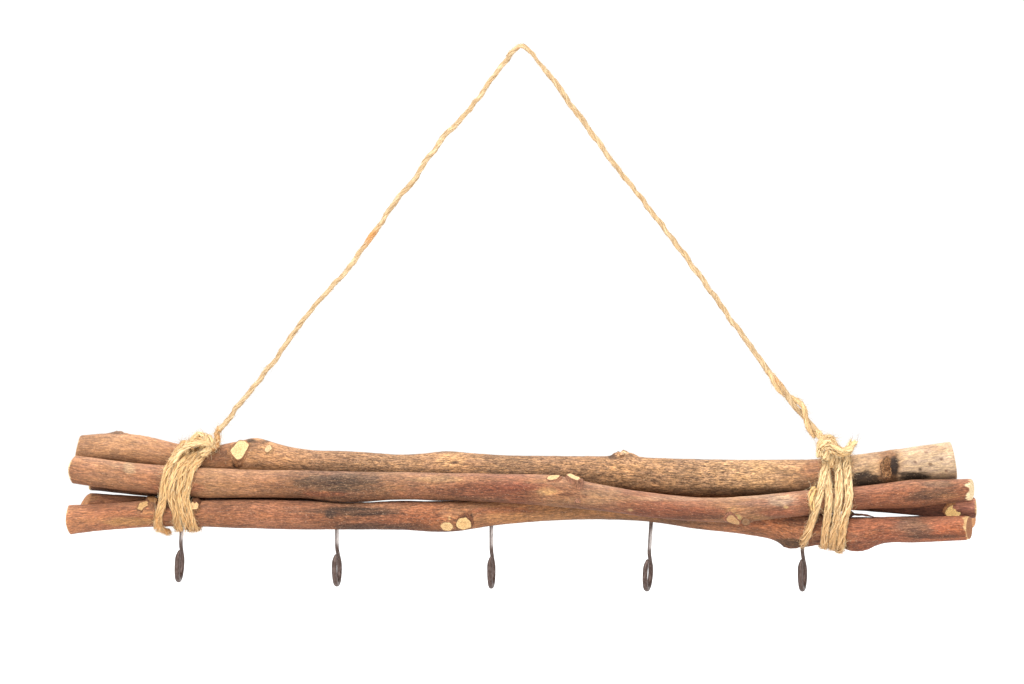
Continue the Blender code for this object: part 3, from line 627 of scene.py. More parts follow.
def side_branch(soup, stations, at, outline, stand, seed, bark_rgb, wood_rgb, lean=0.0, flare=0.7, tilt=(0, 0, 0),
                sides=48, dark_rim=0.4, core_dark=0.0, rough=0.12, depth=0.0, cut=1.0, bright=1.14):
    """A cut side branch: a collar rising out of the bark, and its cut face drawn by outline, which
    is in pixels right and up from the face's middle, itself at the pixel at."""
    x = px_x(at[0])
    y, z, r = stick_at(stations, x)[0]
    r = r + 0.3
    rise = r + stand
    turn = math.acos(max(-1.0, min(1.0, (px_z(at[1]) - z) / rise)))
    b = math.radians(lean)
    out = np.array([math.sin(b), -math.sin(turn) * math.cos(b), math.cos(turn) * math.cos(b)])
    u = np.array([1.0, 0, 0]) - out * out[0]
    u /= np.linalg.norm(u)
    v = np.cross(out, u)
    face_n = out + np.asarray(tilt, float)
    face_n /= np.linalg.norm(face_n)
    core = np.array([x - out[0] * rise, y, z])
    stretch = 1 / max(abs(v[2]), 0.35)
    shape = closed_outline(outline, sides) * 0.55
    shape[:, 1] *= stretch
    size = float(np.mean(np.linalg.norm(shape, axis=1)))
    ang = np.arctan2(shape[:, 1], shape[:, 0])
    levels = [(-0.9, 1 + flare * 1.25), (-0.55, 1 + flare * 1.12), (-0.25, 1 + flare), (0.0, 1 + 0.72 * flare),
              (0.22, 1 + 0.42 * flare), (0.45, 1 + 0.22 * flare), (0.68, 1 + 0.09 * flare), (0.86, 1.02), (0.96, 1.0),
              (1.0, 0.965)]
    V, C, D, P = [], [], [], []
    bark_c, wood_c = rgb(*bark_rgb), rgb(*wood_rgb) * bright
    face_centre = core + out * rise
    for t, k in levels:
        spread = shape * k
        # away from the face the collar grows rounder
        blend = smooth(0.0, 1.0, np.array([t]))[0]
        circle = np.stack([np.cos(ang), np.sin(ang)], 1) * size * k
        spread = spread * (0.45 + 0.55 * blend) + circle * (0.55 - 0.55 * blend)
        flat = spread[:, :1] * u + spread[:, 1:] * v
        on_face = -(flat @ face_n) / (face_n @ out)
        h = rise - stand * (1 - t) if t >= 0 else r + t * size
        # the bark falls away round the branch, so the collar follows it down
        drop = (r - np.sqrt(np.maximum(r * r - spread[:, 1] ** 2, (0.25 * r) ** 2))) * (1 - blend)
        ring = core + flat + out * (h + on_face * blend - drop)[:, None]
        q = np.stack([np.cos(ang) * 2.2, np.sin(ang) * 2.2, np.full(sides, t * 2.5 + seed)], 1)
        bump = rough * (noise3(q, seed + 4) + 0.6 * noise3(q * 2.3, seed + 5))
        ring = ring + (flat / np.maximum(np.linalg.norm(flat, axis=1), 1e-6)[:, None]) * bump[:, None]
        V.append(ring)
        tone = bark_c * (1 - 0.5 * dark_rim * smooth(0.3, 0.9, np.array([t]))[0])
        C.append(np.tile(tone, (sides, 1)) * (1 + 1.2 * bump[:, None]))
        D.append(np.tile([0.0, 0.4, 0.4], (sides, 1)))
        P.append(np.stack([np.full(sides, h), np.cos(ang) * size * k, np.sin(ang) * size * k], 1))
    rim = V[-1]
    shares = [0.96, 0.9, 0.82, 0.72, 0.6, 0.48, 0.36, 0.24, 0.12]
    for share in shares:
        q = np.stack([shape[:, 0] * share / 1.0, shape[:, 1] * share / 1.0, np.full(sides, seed * 1.0)], 1)
        ring = face_centre + (rim - face_centre) * share
        dish = depth * (1 - share**2)
        lift = (0.16 + 1.2 * rough * (1 - cut)) * noise3(q, seed + 8) + (0.10 + 0.8 * rough * (1 - cut)) * noise3(q * 2.4, seed + 9)
        lift = lift - 0.05 - dish
        ring = ring + face_n * lift[:, None]
        V.append(ring)
        tone = np.tile(wood_c, (sides, 1)) * (0.92 + 0.16 * noise3(q * 1.2, seed + 12))[:, None]
        tone = paint(tone, np.full(sides, core_dark * (1 - share) ** 1.5), wood_c * rgb(200, 160, 120))
        if share > 0.95:
            tone = paint(tone, np.full(sides, 0.4), bark_c * 0.8)
        C.append(tone)
        D.append(np.tile([cut, 1 - cut, 0.5 - 0.5 * cut], (sides, 1)))
        P.append(np.stack([np.ones(sides), shape[:, 0] * share, shape[:, 1] * share], 1))
    V.append((face_centre - face_n * (0.05 + depth))[None])
    C.append(wood_c[None] * (0.85 - 0.3 * core_dark))
    D.append([[cut, 1 - cut, 0.5 - 0.5 * cut]])
    P.append([[1.0, 0, 0]])
    V, C, D, P = (np.concatenate(q) for q in (V, C, D, P))
    P = P + [400 * seed + 90, 0, 0]
    n = len(levels) + len(shares)
    soup.add(V, grid_quads(n, sides), ring_fan((n - 1) * sides, sides, n * sides), {
        "Col": np.concatenate([C * BARK_GAIN, np.ones((len(V), 1))], 1), "pos": P, "data": D})


def splinter(soup, rows, half, bark_rgb, seed, sides=7, spacing=0.5):
    """A thin splinter of bark along rows of (pixel x, pixel y, depth Y in mm)."""
    pts = resample([(px_x(a), y, px_z(b)) for a, b, y in rows], spacing)
    n = len(pts)
    t, nn, bb = frames(pts)
    s = np.linspace(0, 1, n)
    thin = np.clip(np.minimum(s * 5, (1 - s) * 2.5), 0.15, 1)
    ang = np.linspace(0, 2 * math.pi, sides, endpoint=False)
    T, TH = np.repeat(thin, sides), np.tile(ang, n)
    key = np.stack([np.repeat(s * 9, sides), np.cos(TH), np.sin(TH)], 1)
    rad = T * (1 + 0.35 * noise3(key, seed))
    verts = (np.repeat(pts, sides, 0) + np.repeat(nn, sides, 0) * (np.cos(TH) * rad * half[1])[:, None]
             + np.repeat(bb, sides, 0) * (np.sin(TH) * rad * half[0])[:, None])
    verts = np.concatenate([verts, pts[:1], pts[-1:]])
    col = np.tile(rgb(*bark_rgb), (len(verts), 1)) * (1 + 0.2 * noise3(verts / 2.0, seed + 1))[:, None]
    data = np.tile([0.0, 0.6, 0.3], (len(verts), 1))
    tris = np.concatenate([ring_fan(0, sides, n * sides, outward=False),
                           ring_fan((n - 1) * sides, sides, n * sides + 1, outward=True)])
    soup.add(verts, grid_quads(n, sides), tris, {
        "Col": np.concatenate([col * BARK_GAIN, np.ones((len(col), 1))], 1), "pos": verts + [400 * seed, 0, 0], "data": data})


END_CUTS = {
    "stick_top": ((0.20, 0.05), (-0.18, -0.05)),
    "stick_middle": ((0.02, -0.05), (0.0, 0.30)),
    "stick_bottom": ((0.02, -0.05), (0.0, 0.36)),
    "stick_rear_upper": ((0.05, -0.10), (-0.04, -0.10)),
    "stick_rear_lower": ((0.55, -0.35), (-0.05, 0.50)),
}

# the darker tone at column 222, right of the left binding, is painted shade
TOP_TONES = [
    (75, 170, 125, 92), (115, 188, 142, 105), (150, 200, 149, 109), (190, 174, 124, 90), (222, 168, 116, 80),
    (245, 198, 148, 106), (285, 200, 150, 108), (340, 174, 131, 96), (400, 178, 136, 98), (450, 194, 146, 106),
    (500, 168, 128, 93), (560, 163, 123, 89), (600, 178, 135, 97), (650, 181, 138, 99), (700, 188, 146, 107),
    (760, 208, 165, 120), (800, 202, 156, 114), (830, 174, 128, 96), (858, 207, 173, 136), (890, 184, 146, 110),
    (910, 214, 184, 151), (955, 215, 188, 158),
]
MIDDLE_TONES = [
    (68, 186, 124, 94), (110, 188, 130, 100), (150, 182, 119, 90), (210, 191, 135, 102), (260, 187, 128, 97),
    (300, 163, 109, 81), (350, 144, 95, 73), (390, 154, 105, 80), (430, 178, 120, 92), (480, 171, 106, 80),
    (520, 161, 96, 73), (552, 181, 125, 94), (590, 167, 111, 87), (640, 167, 104, 81), (700, 174, 110, 85),
    (735, 188, 132, 100), (770, 172, 113, 91), (805, 172, 110, 88), (860, 172, 104, 80), (900, 173, 104, 77),
    (945, 166, 107, 82), (975, 178, 103, 77),
]
BOTTOM_TONES = [
    (66, 192, 124, 94), (110, 188, 120, 90), (150, 176, 111, 82), (200, 168, 108, 81), (250, 171, 108, 82),
    (300, 170, 105, 80), (345, 154, 99, 75), (390, 161, 98, 75), (430, 178, 109, 78), (470, 190, 129, 96),
    (520, 189, 127, 91), (580, 179, 123, 87), (630, 167, 115, 82), (690, 174, 116, 88), (740, 190, 123, 93),
    (780, 184, 115, 83), (815, 152, 95, 72), (860, 171, 99, 74), (892, 174, 102, 78), (915, 169, 107, 86),
    (940, 185, 105, 78), (972, 192, 111, 78),
]
# painted light: the lighter tone at the left end (column 66) lifts bark that the front branch shades
REAR_TONES = [(66, 166, 110, 80), (300, 120, 78, 56), (600, 130, 84, 60), (880, 150, 92, 68), (980, 150, 88, 66)]

TOP_PATCHES = [
    (118, 432, 9, 3, (96, 70, 56), 0.8, 0.5), (251, 441, 6, 2.0, (62, 46, 36), 0.9, 0.45),
    (259, 443, 7, 3.0, (142, 100, 72), 0.6, 0.5), (266, 441.5, 3.2, 1.2, (78, 56, 42), 0.8, 0.3),
    # painted shadow: the dark wedge (236, 462) under the side branch cut at (239.5, 450) and the darker patch (222,
    # 455) right of the left binding
    (236, 462, 4, 7, (52, 34, 24), 0.9, 0.3), (222, 455, 10, 8, (120, 82, 58), 0.6, 0.5),
    (452, 460, 14, 8, (226, 176, 124), 0.6, 0.6), (455, 462.5, 4, 1.4, (70, 44, 30), 0.9, 0.3),
    (445, 452, 14, 2.2, (96, 76, 64), 0.6, 0.5), (470, 464, 7, 2, (120, 84, 56), 0.5, 0.5),
    (622, 470, 14, 9, (214, 162, 112), 0.5, 0.6), (612.5, 457, 4, 3, (84, 58, 42), 0.85, 0.4),
    (626, 452.5, 5, 1.3, (246, 222, 184), 0.6, 0.5),
    (330, 468, 60, 5, (118, 90, 66), 0.45, 0.6), (400, 472, 60, 4, (120, 88, 62), 0.5, 0.6),
    (560, 476, 50, 5, (120, 90, 64), 0.45, 0.6), (700, 492, 90, 5, (116, 88, 62), 0.55, 0.5),
    (780, 492, 50, 5, (104, 78, 56), 0.6, 0.5), (812, 484, 16, 6, (98, 70, 50), 0.5, 0.6),
    (812, 470, 12, 8, (168, 112, 82), 0.5, 0.6),
    (866, 479, 17, 8, (50, 37, 28), 0.95, 0.85), (914, 477, 15, 5, (52, 40, 31), 0.95, 0.8),
    # painted shadow: the dark crescent (894, 467) right of the knot at (888, 466) is the knot's cast shadow
    (888, 466, 9, 15, (170, 122, 82), 0.7, 0.5), (894.0, 467, 4.6, 13.5, (44, 32, 25), 0.96, 0.5),
    (889, 454, 8, 3, (150, 108, 76), 0.7, 0.5), (888, 478, 8, 6, (128, 92, 62), 0.7, 0.5),
    (935, 448, 14, 3, (176, 140, 112), 0.6, 0.5), (948, 460, 5, 12, (238, 206, 170), 0.5, 0.6),
    (930, 464, 2.0, 1.3, (96, 60, 48), 0.9, 0.2), (920, 469, 2.0, 1.6, (84, 62, 52), 0.9, 0.2),
    (941, 459, 1.8, 1.2, (120, 80, 66), 0.8, 0.2), (926, 452, 2.0, 1.0, (130, 92, 78), 0.8, 0.2),
    (946, 471, 1.6, 1.4, (104, 70, 60), 0.8, 0.2), (915, 462, 1.8, 1.2, (128, 96, 80), 0.8, 0.2),
]
MIDDLE_PATCHES = [
    (130, 468, 6, 6, (214, 174, 142), 0.6, 0.6), (116, 466, 5, 3, (210, 162, 126), 0.4, 0.6),
    (334, 481, 40, 8, (92, 67, 53), 0.8, 0.6), (322, 478, 22, 2.0, (66, 47, 37), 0.6, 0.8),
    (346, 482.5, 24, 2.0, (64, 46, 36), 0.6, 0.8), (303, 483, 9, 4, (90, 68, 56), 0.5, 0.9),
    (345, 488, 28, 4, (122, 92, 74), 0.55, 0.5), (372, 478, 10, 5, (120, 88, 70), 0.6, 0.5),
    (322, 494, 22, 3, (196, 104, 78), 0.35, 0.6), (180, 488, 24, 5, (182, 100, 76), 0.5, 0.5),
    (420, 492, 30, 6, (172, 104, 80), 0.5, 0.6), (440, 479, 26, 3, (206, 158, 118), 0.45, 0.6),
    (482, 491, 40, 7, (144, 82, 62), 0.6, 0.5), (505, 486, 24, 6, (146, 80, 62), 0.5, 0.5),
    (476, 500, 30, 4, (150, 106, 86), 0.5, 0.5), (546, 490, 9, 5, (226, 170, 122), 0.75, 0.5),
    (566, 494, 8, 2.2, (110, 64, 48), 0.7, 0.5), (572, 488, 16, 2.4, (126, 74, 56), 0.5, 0.5),
    (530, 486, 26, 3.4, (158, 82, 62), 0.5, 0.6), (630, 509.5, 3, 1.2, (240, 196, 150), 0.9, 0.3),
    (615, 499, 40, 4.5, (206, 158, 126), 0.4, 0.6), (600, 492, 20, 3, (196, 154, 126), 0.4, 0.6),
    (680, 512, 60, 6, (150, 82, 64), 0.6, 0.5), (640, 503, 30, 4, (148, 80, 62), 0.45, 0.5),
    (735, 519, 5.5, 4.4, (222, 186, 130), 0.9, 0.4), (744.5, 520.5, 3.6, 3.8, (150, 112, 78), 0.85, 0.4),
    (731, 510.5, 5, 4.5, (206, 154, 112), 0.6, 0.5), (727, 513, 2, 2, (90, 64, 52), 0.8, 0.3),
    (752, 523, 4, 2, (222, 176, 140), 0.5, 0.4), (765, 503, 24, 3.4, (170, 120, 106), 0.5, 0.6),
    # painted sheen: the pale pinkish bands along the front branch's top edge, at columns 782, 690, 762 and 630, stand
    # in for light on its upper side
    (782, 500, 16, 4.5, (194, 164, 150), 0.6, 0.6),
    (690, 497.5, 54, 2.8, (206, 158, 134), 0.45, 0.6), (762, 495.5, 32, 2.6, (216, 176, 154), 0.5, 0.6),
    (630, 486, 40, 2.4, (200, 154, 128), 0.4, 0.6), (785, 506.5, 2.4, 1.3, (244, 196, 140), 0.9, 0.3),
    (777, 512, 20, 3, (176, 96, 70), 0.5, 0.5), (760, 519, 18, 2.6, (214, 152, 104), 0.5, 0.5),
    (700, 516.5, 26, 2.6, (96, 66, 54), 0.4, 0.5),
    (930, 493, 22, 5.5, (118, 82, 66), 0.75, 0.5), (938, 484, 16, 3.2, (126, 94, 80), 0.65, 0.5),
    (918, 498, 16, 2.4, (98, 66, 54), 0.6, 0.4), (890, 490, 26, 5, (176, 104, 80), 0.4, 0.6),
    (950, 496, 12, 2.4, (206, 138, 98), 0.4, 0.5), (86, 470, 10, 9, (200, 136, 108), 0.35, 0.6),
]
BOTTOM_PATCHES = [
    (130, 521, 24, 4.6, (212, 154, 104), 0.6, 0.5), (118, 512, 26, 4.0, (196, 120, 88), 0.4, 0.6),
    (105, 508, 24, 3.4, (152, 88, 64), 0.55, 0.6), (162, 505, 10, 4, (96, 60, 44), 0.6, 0.5),
    (146, 512, 8, 3, (200, 142, 106), 0.5, 0.5), (215, 508, 28, 5, (132, 80, 60), 0.5, 0.6),
    (360, 511, 44, 4.0, (78, 54, 44), 0.8, 0.6), (352, 508.5, 26, 1.5, (48, 33, 26), 0.7, 0.8),
    (380, 513.5, 26, 1.5, (52, 36, 29), 0.6, 0.8), (331, 514, 6, 4, (56, 42, 38), 0.8, 0.4),
    (372, 527, 34, 4.4, (92, 68, 58), 0.7, 0.5), (410, 526, 20, 3.4, (96, 66, 56), 0.55, 0.5),
    (300, 510, 26, 4, (130, 84, 66), 0.5, 0.6), (280, 522, 40, 5, (196, 132, 106), 0.35, 0.6),
    (430, 515, 26, 8, (184, 108, 78), 0.5, 0.6), (452, 513, 12, 5, (206, 146, 112), 0.45, 0.5),
    (475, 512, 10, 5, (174, 106, 80), 0.4, 0.5), (471.5, 518, 1.6, 5.5, (56, 36, 28), 0.95, 0.25),
    (449.5, 518.5, 1.0, 3.2, (238, 192, 146), 0.75, 0.2), (470, 514, 3, 6, (112, 74, 52), 0.4, 0.4),
    (440, 532, 30, 3, (98, 66, 52), 0.6, 0.5), (500, 510, 34, 3.2, (158, 88, 66), 0.55, 0.5),
    (530, 519, 50, 5, (206, 146, 104), 0.4, 0.6), (625, 515, 34, 3, (206, 138, 98), 0.4, 0.6),
    (700, 522, 60, 3.5, (110, 78, 62), 0.5, 0.5), (640, 519, 40, 2.6, (128, 88, 66), 0.45, 0.5),
    (760, 520, 30, 7, (182, 104, 76), 0.4, 0.6), (765, 514, 26, 4, (150, 86, 66), 0.5, 0.5),
    (800, 518, 16, 6, (120, 72, 54), 0.6, 0.5), (786, 543, 16, 4.4, (92, 74, 62), 0.8, 0.5),
    (806, 534, 12, 6, (190, 124, 98), 0.5, 0.6), (850, 536, 14, 5, (196, 130, 104), 0.5, 0.6),
    (868, 543, 14, 4.2, (142, 92, 78), 0.5, 0.5), (842, 547, 6, 2.4, (66, 48, 40), 0.7, 0.4),
    (913, 527, 20, 7, (140, 102, 88), 0.7, 0.5), (905, 519, 14, 4, (112, 80, 72), 0.5, 0.5),
    (930, 536, 34, 2.2, (78, 58, 52), 0.6, 0.5), (870, 520, 30, 3.6, (184, 100, 72), 0.5, 0.5),
    (945, 521, 18, 5, (188, 108, 82), 0.45, 0.6), (80, 524, 10, 9, (198, 134, 104), 0.35, 0.6),
]


def make_sticks():
    dash = rgb(88, 58, 38) * BARK_GAIN
    bark_tan = bark_material("bark_tan", dash, rgb(240, 206, 164) * BARK_GAIN, 1.05, 1.35)
    bark_red = bark_material("bark_red", rgb(78, 44, 32) * BARK_GAIN, rgb(236, 192, 156) * BARK_GAIN, 1.15, 1.25)
    bark_dark = bark_material("bark_dark", rgb(60, 36, 26) * BARK_GAIN, rgb(206, 152, 112) * BARK_GAIN, 1.0, 1.2)

    # the highest branch
    soup = Soup()
    stations = [(-244.6, 4.0, -221.4, 8.2)] + STICK_TOP[1:-1] + [(238.2, -0.5, -226.8, 10.5)]
    branch(soup, stations, 1, 0.0, END_CUTS["stick_top"], TOP_TONES, TOP_PATCHES, sides=68, spacing=0.90,
           bumps=[(117, 4, 4.5, 4, 1.6), (140, 10, 9, 5, 0.8), (260, 14, 8, 5, 0.45), (445, 16, 8, 5, 0.6),
                  (236, 88, 6, 5, 0.5), (237, 118, 3, 2.5, -0.9),
                  (889, 62, 4.6, 8, 1.3), (895, 66, 2.4, 8, 1.0), (901, 68, 1.3, 8, -0.5), (881, 80, 2, 7, 0.5),
                  (866, 118, 8, 4, 0.35), (913, 118, 7, 4, 0.35), (650, 20, 14, 6, 0.5), (800, 30, 20, 6, 0.4),
                  (617, 5, 3.0, 4.0, 1.9), (623, 8, 3.1, 4.2, 2.1), (629, 5, 3.1, 4.0, 1.8), (635, 6, 2.8, 3.4, 0.9),
                  (620, 24, 2.0, 1.2, 0.7), (627, 22, 1.6, 1.4, -0.8), (255, 40, 4.5, 4, 0.9)],
           rough=1.15, speck=0.5, grow=0.32,
           dash=[(60, 0.2), (200, 0.35), (270, 0.6), (310, 0.9), (380, 1.0), (440, 0.75), (500, 1.0), (720, 1.0), (780, 0.7),
                 (840, 0.4), (890, 0.3), (915, 0.12), (960, 0.1)],
           palette=[((150, 112, 80), 0.5), ((104, 80, 60), 0.6), ((214, 172, 126), 0.45)],
           dense=[(px_x(240), 6), (px_x(892), 8), (px_x(622), 9)], cut_colors=(236, 200, 150), chips=(0.4, 0.4),
           chip_drop=0.15, balance=(1.04, 1.0, 0.97), painted_light_top=0.12)
    side_branch(soup, STICK_TOP, (239.5, 450.2), [(10.4, 5.4), (5.0, 9.2), (-1.5, 9.6), (-10.4, -0.6), (-3.0, -9.2), (1.6, -9.0), (6.4, -2.0)],
                1.0, 3, (176, 126, 88), (255, 222, 162), tilt=(-0.12, -0.1, -0.1), flare=0.40, core_dark=0.35, dark_rim=0.25, rough=0.26, bright=1.15)
    side_branch(soup, STICK_TOP, (268.3, 448.4), [(4.0, -0.5), (1.4, 4.4), (-3.0, 2.0), (-4.2, -2.6), (-1.5, -4.5)],
                0.7, 4, (190, 146, 104), (236, 200, 152), flare=0.4, sides=28, rough=0.1)
    side_branch(soup, STICK_TOP, (621.5, 453.4), [(3.0, 0.2), (1.5, 1.6), (-2.0, 1.4), (-3.2, -0.4), (-0.5, -1.6), (2.2, -1.3)],
                2.7, 5, (170, 124, 88), (244, 216, 180), flare=0.5, rough=0.3, core_dark=0.6, dark_rim=0.5, depth=0.25, sides=32)
    side_branch(soup, STICK_TOP, (888.5, 467.5), [(2.8, 0.5), (2.4, 8.0), (-1.6, 11.6), (-5.8, 8.0), (-8.6, 0.5), (-6.6, -8.5),
                                                (-2.5, -11.8), (2.0, -8.4)],
                1.0, 7, (150, 110, 78), (184, 134, 90), flare=0.25, rough=0.8, core_dark=0.6, dark_rim=0.35, depth=-1.0, sides=56, cut=0.0,
                bright=1.0)
    side_branch(soup, STICK_TOP, (117.5, 432.5), [(3.5, 0), (1, 2), (-3, 1), (-3, -2), (1, -2)], 0.6, 6, (128, 94, 72),
                (120, 88, 70), flare=1.2, sides=28, rough=0.3)
    top = soup.make("top_branch", bark_tan)
    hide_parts("stick_top")

    # the front branch
    soup = Soup()
    branch(soup, STICK_MIDDLE, 2, 1.3, END_CUTS["stick_middle"], MIDDLE_TONES, MIDDLE_PATCHES, sides=66, spacing=0.92,
           bumps=[(552, 58, 5, 3.5, 0.5), (573, 66, 5, 4, 1.0), (736, 118, 6, 4, 0.6), (745, 124, 3.2, 3.2, 0.7), (800, 60, 10, 6, 0.3),
                  (548, 92, 6, 4, 0.5), (130, 60, 4, 4, 0.25), (902, 60, 14, 7, 0.3), (566, 96, 4, 2, -0.35),
                  (337, 170, 9, 5, 0.6), (330, 60, 16, 5, 0.2)],
           rough=0.95, speck=0.5, grow=0.34, round_left=(3.6, 2.2),
           dash=[(60, 0.3), (290, 0.4), (330, 0.9), (380, 0.5), (470, 0.55), (560, 0.4), (700, 0.3), (900, 0.45), (970, 0.5)],
           dense=[(px_x(553), 5), (px_x(574), 5), (px_x(738), 6)], cut_colors=(255, 226, 178), chips=(0.5, 2.8),
           balance=(0.87, 0.92, 0.78), painted_light_top=0.26)
    side_branch(soup, STICK_MIDDLE, (553, 476.9), [(7.4, 2.4), (-2.6, 3.0), (-7.6, -0.2), (-3.6, -3.2), (4.2, -2.0)],
                1.0, 13, (176, 122, 92), (246, 206, 150), flare=0.6, sides=36, tilt=(-0.1, 0, 0.25), rough=0.2)
    side_branch(soup, STICK_MIDDLE, (573, 475.9), [(7.8, -1.8), (-3.0, 4.2), (-7.2, 1.6), (-2.0, -2.6), (4.6, -5.0)],
                1.8, 14, (172, 120, 92), (248, 210, 156), flare=0.62, sides=36, tilt=(0.1, 0, 0.4), rough=0.26)
    side_branch(soup, STICK_MIDDLE, (732.3, 519), [(7.6, -3.2), (7.0, -6.2), (-1.8, -4.0), (-7.6, -1.0), (-5.0, 4.4), (-0.8, 5.2)],
                0.5, 15, (170, 112, 84), (214, 168, 118), flare=0.5, sides=36, rough=0.2, core_dark=0.3)
    side_branch(soup, STICK_MIDDLE, (745.2, 521.4), [(4.8, -1.0), (2.6, 3.2), (-2.6, 3.4), (-4.6, -0.6), (-1.6, -3.8), (2.6, -3.6)],
                0.6, 16, (150, 104, 72), (160, 122, 86), flare=0.5, sides=32, rough=0.2, core_dark=0.7, depth=0.35)
    middle = soup.make("front_branch", bark_red)
    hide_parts("stick_middle")

    # the lowest branch
    soup = Soup()
    branch(soup, STICK_BOTTOM, 3, 2.6, END_CUTS["stick_bottom"], BOTTOM_TONES, BOTTOM_PATCHES, sides=66, spacing=0.92,
           bumps=[(143, 66, 6, 4, 0.4), (447, 120, 5, 4, 0.3), (465, 112, 7, 5, 0.3), (787, 175, 5.5, 7, 2.2), (797, 160, 8, 6, 0.5),
                  (864, 172, 6.5, 7, 1.1), (473, 72, 2.6, 2, 0.5), (120, 90, 18, 5, 0.25), (838, 165, 5, 5, -0.5),
                  (848, 170, 3, 5, 0.6)],
           rough=1.05, speck=0.55, grow=0.4, round_left=(1.2, 2.2),
           dash=[(60, 0.35), (300, 0.5), (350, 0.8), (420, 0.5), (600, 0.35), (700, 0.45), (880, 0.5), (970, 0.4)],
           dense=[(px_x(143), 5), (px_x(456), 9)], cut_colors=(236, 190, 134), chips=(0.5, 2.4), face_color=(170, 112, 72),
           balance=(0.92, 0.97, 0.81), painted_light_top=0.18)
    side_branch(soup, STICK_BOTTOM, (143.5, 505.2), [(7.3, 1.2), (4.6, 4.7), (-3.5, 2.9), (-6.2, -3.4), (-0.8, -5.2), (1.2, -2.0)],
                0.8, 23, (176, 122, 86), (222, 178, 120), flare=0.6, sides=40, rough=0.2, core_dark=0.3)
    side_branch(soup, STICK_BOTTOM, (153, 499.2), [(5.4, 0.4), (4.0, -3.0), (-3.0, -2.2), (-7.0, 3.0), (0.5, 4.1)],
                1.3, 24, (152, 104, 72), (184, 136, 88), flare=0.6, sides=40, rough=0.25, core_dark=0.4)
    side_branch(soup, STICK_BOTTOM, (195.3, 504.8), [(4.4, 0.8), (0.2, 5.2), (-4.0, 2.4), (-2.6, -4.6), (3.4, -3.8)],
                2.2, 25, (160, 112, 76), (248, 204, 146), flare=0.4, sides=40, rough=0.18)
    side_branch(soup, STICK_BOTTOM, (195.6, 497.6), [(4.0, -2.6), (1.5, 3.6), (-3.8, -1.0), (-1.0, -3.6)],
                1.8, 28, (120, 78, 54), (150, 100, 68), flare=0.4, sides=28, rough=0.2, bright=0.9)
    side_branch(soup, STICK_BOTTOM, (446.9, 526.2), [(7.4, -0.8), (4.0, 4.4), (-3.2, 4.4), (-7.4, 1.0), (-3.4, -4.2), (4.0, -4.6)],
                0.8, 26, (178, 122, 84), (246, 206, 148), flare=0.35, sides=44, rough=0.14, core_dark=0.35)
    side_branch(soup, STICK_BOTTOM, (463.4, 523.3), [(7.6, 2.4), (3.0, 6.8), (-4.6, 5.6), (-8.0, 0.0), (-6.6, -4.4), (-0.6, -6.7), (8.8, -3.8)],
                1.2, 27, (140, 90, 62), (246, 204, 142), flare=0.35, sides=48, rough=0.14, dark_rim=0.8, core_dark=0.4)
    splinter(soup, [(845, 514.0, -10.0), (851, 514.4, -10.4), (858, 514.5, -10.6), (865, 515.0, -10.6), (871, 516.2, -10.4),
                    (879, 519.0, -9.5)], (0.62, 0.8), (104, 66, 48), 29)
    splinter(soup, [(842, 513.2, -9.0), (848, 513.8, -9.2), (852.5, 514.0, -9.2), (855.5, 514.2, -9.0)], (2.1, 0.8), (92, 58, 40), 31)
    bottom = soup.make("lower_branch", bark_red)
    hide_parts("stick_bottom")

    # the two branches behind
    soup = Soup()
    branch(soup, STICK_REAR_UPPER, 4, 3.9, END_CUTS["stick_rear_upper"], REAR_TONES,
           # painted light: the bright patch (966, 505) lifts bark at the right end that the front branch shades
           [(930, 505, 40, 10, (120, 76, 58), 0.5, 0.5), (966, 505, 14, 9, (206, 138, 114), 0.85, 0.5),
            (966, 511, 8, 3, (120, 70, 56), 0.5, 0.5), (100, 491, 20, 3, (92, 62, 46), 0.6, 0.5)],
           sides=46, spacing=1.30, rough=0.9, speck=0.4, dash=[(60, 0.5), (980, 0.5)], grow=0.35,
           cut_colors=(232, 196, 138), chips=(0.8, 0.8), dense=[(px_x(954), 5)])
    # painted light: bright=1.42 lifts this stub's wood, which sits in the shade under the front branch
    side_branch(soup, STICK_REAR_UPPER, (953.2, 512.4), [(8.6, -1.5), (7.4, 3.6), (0.5, 6.0), (-5.6, 4.0), (-8.8, -0.8), (-4.4, -4.8), (4.4, -5.0)],
                0.6, 33, (196, 136, 90), (255, 216, 142), flare=0.35, sides=40, rough=0.14, core_dark=0.25, bright=1.42,
                tilt=(0.05, -0.3, 0.5))
    rear_upper = soup.make("rear_upper_branch", bark_dark)
    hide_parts("stick_rear_upper")

    soup = Soup()
    branch(soup, STICK_REAR_LOWER, 5, 5.2, END_CUTS["stick_rear_lower"], REAR_TONES,
           # painted light: the bright patch (112, 501) lifts bark near the left end that the front branch shades
           [(112, 501, 40, 7, (196, 134, 98), 0.85, 0.4), (88, 497, 9, 5, (214, 158, 110), 0.8, 0.6),
            (965, 520, 14, 8, (206, 156, 104), 0.5, 0.5)],
           sides=46, spacing=1.30, rough=1.2, speck=0.4, dash=[(60, 0.5), (980, 0.5)], grow=0.35,
           cut_colors=(226, 160, 108), chips=(0.6, 2.0))
    rear_lower = soup.make("rear_lower_branch", bark_dark)
    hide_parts("stick_rear_lower")
    return [top, middle, bottom, rear_upper, rear_lower]


# ------------------------------------------------------------------------------------
# twine
# ------------------------------------------------------------------------------------
def resample(points, spacing):
    pts = np.array(points, float)
    chord = np.concatenate([[0], np.cumsum(np.linalg.norm(np.diff(pts, axis=0), axis=1))])
    fine = hermite(chord, pts, np.linspace(0, chord[-1], 14 * len(pts)))
    run = np.concatenate([[0], np.cumsum(np.linalg.norm(np.diff(fine, axis=0), axis=1))])
    marks = np.linspace(0, run[-1], max(2, int(round(run[-1] / spacing)) + 1))
    return np.stack([np.interp(marks, run, fine[:, c]) for c in range(3)], axis=1)


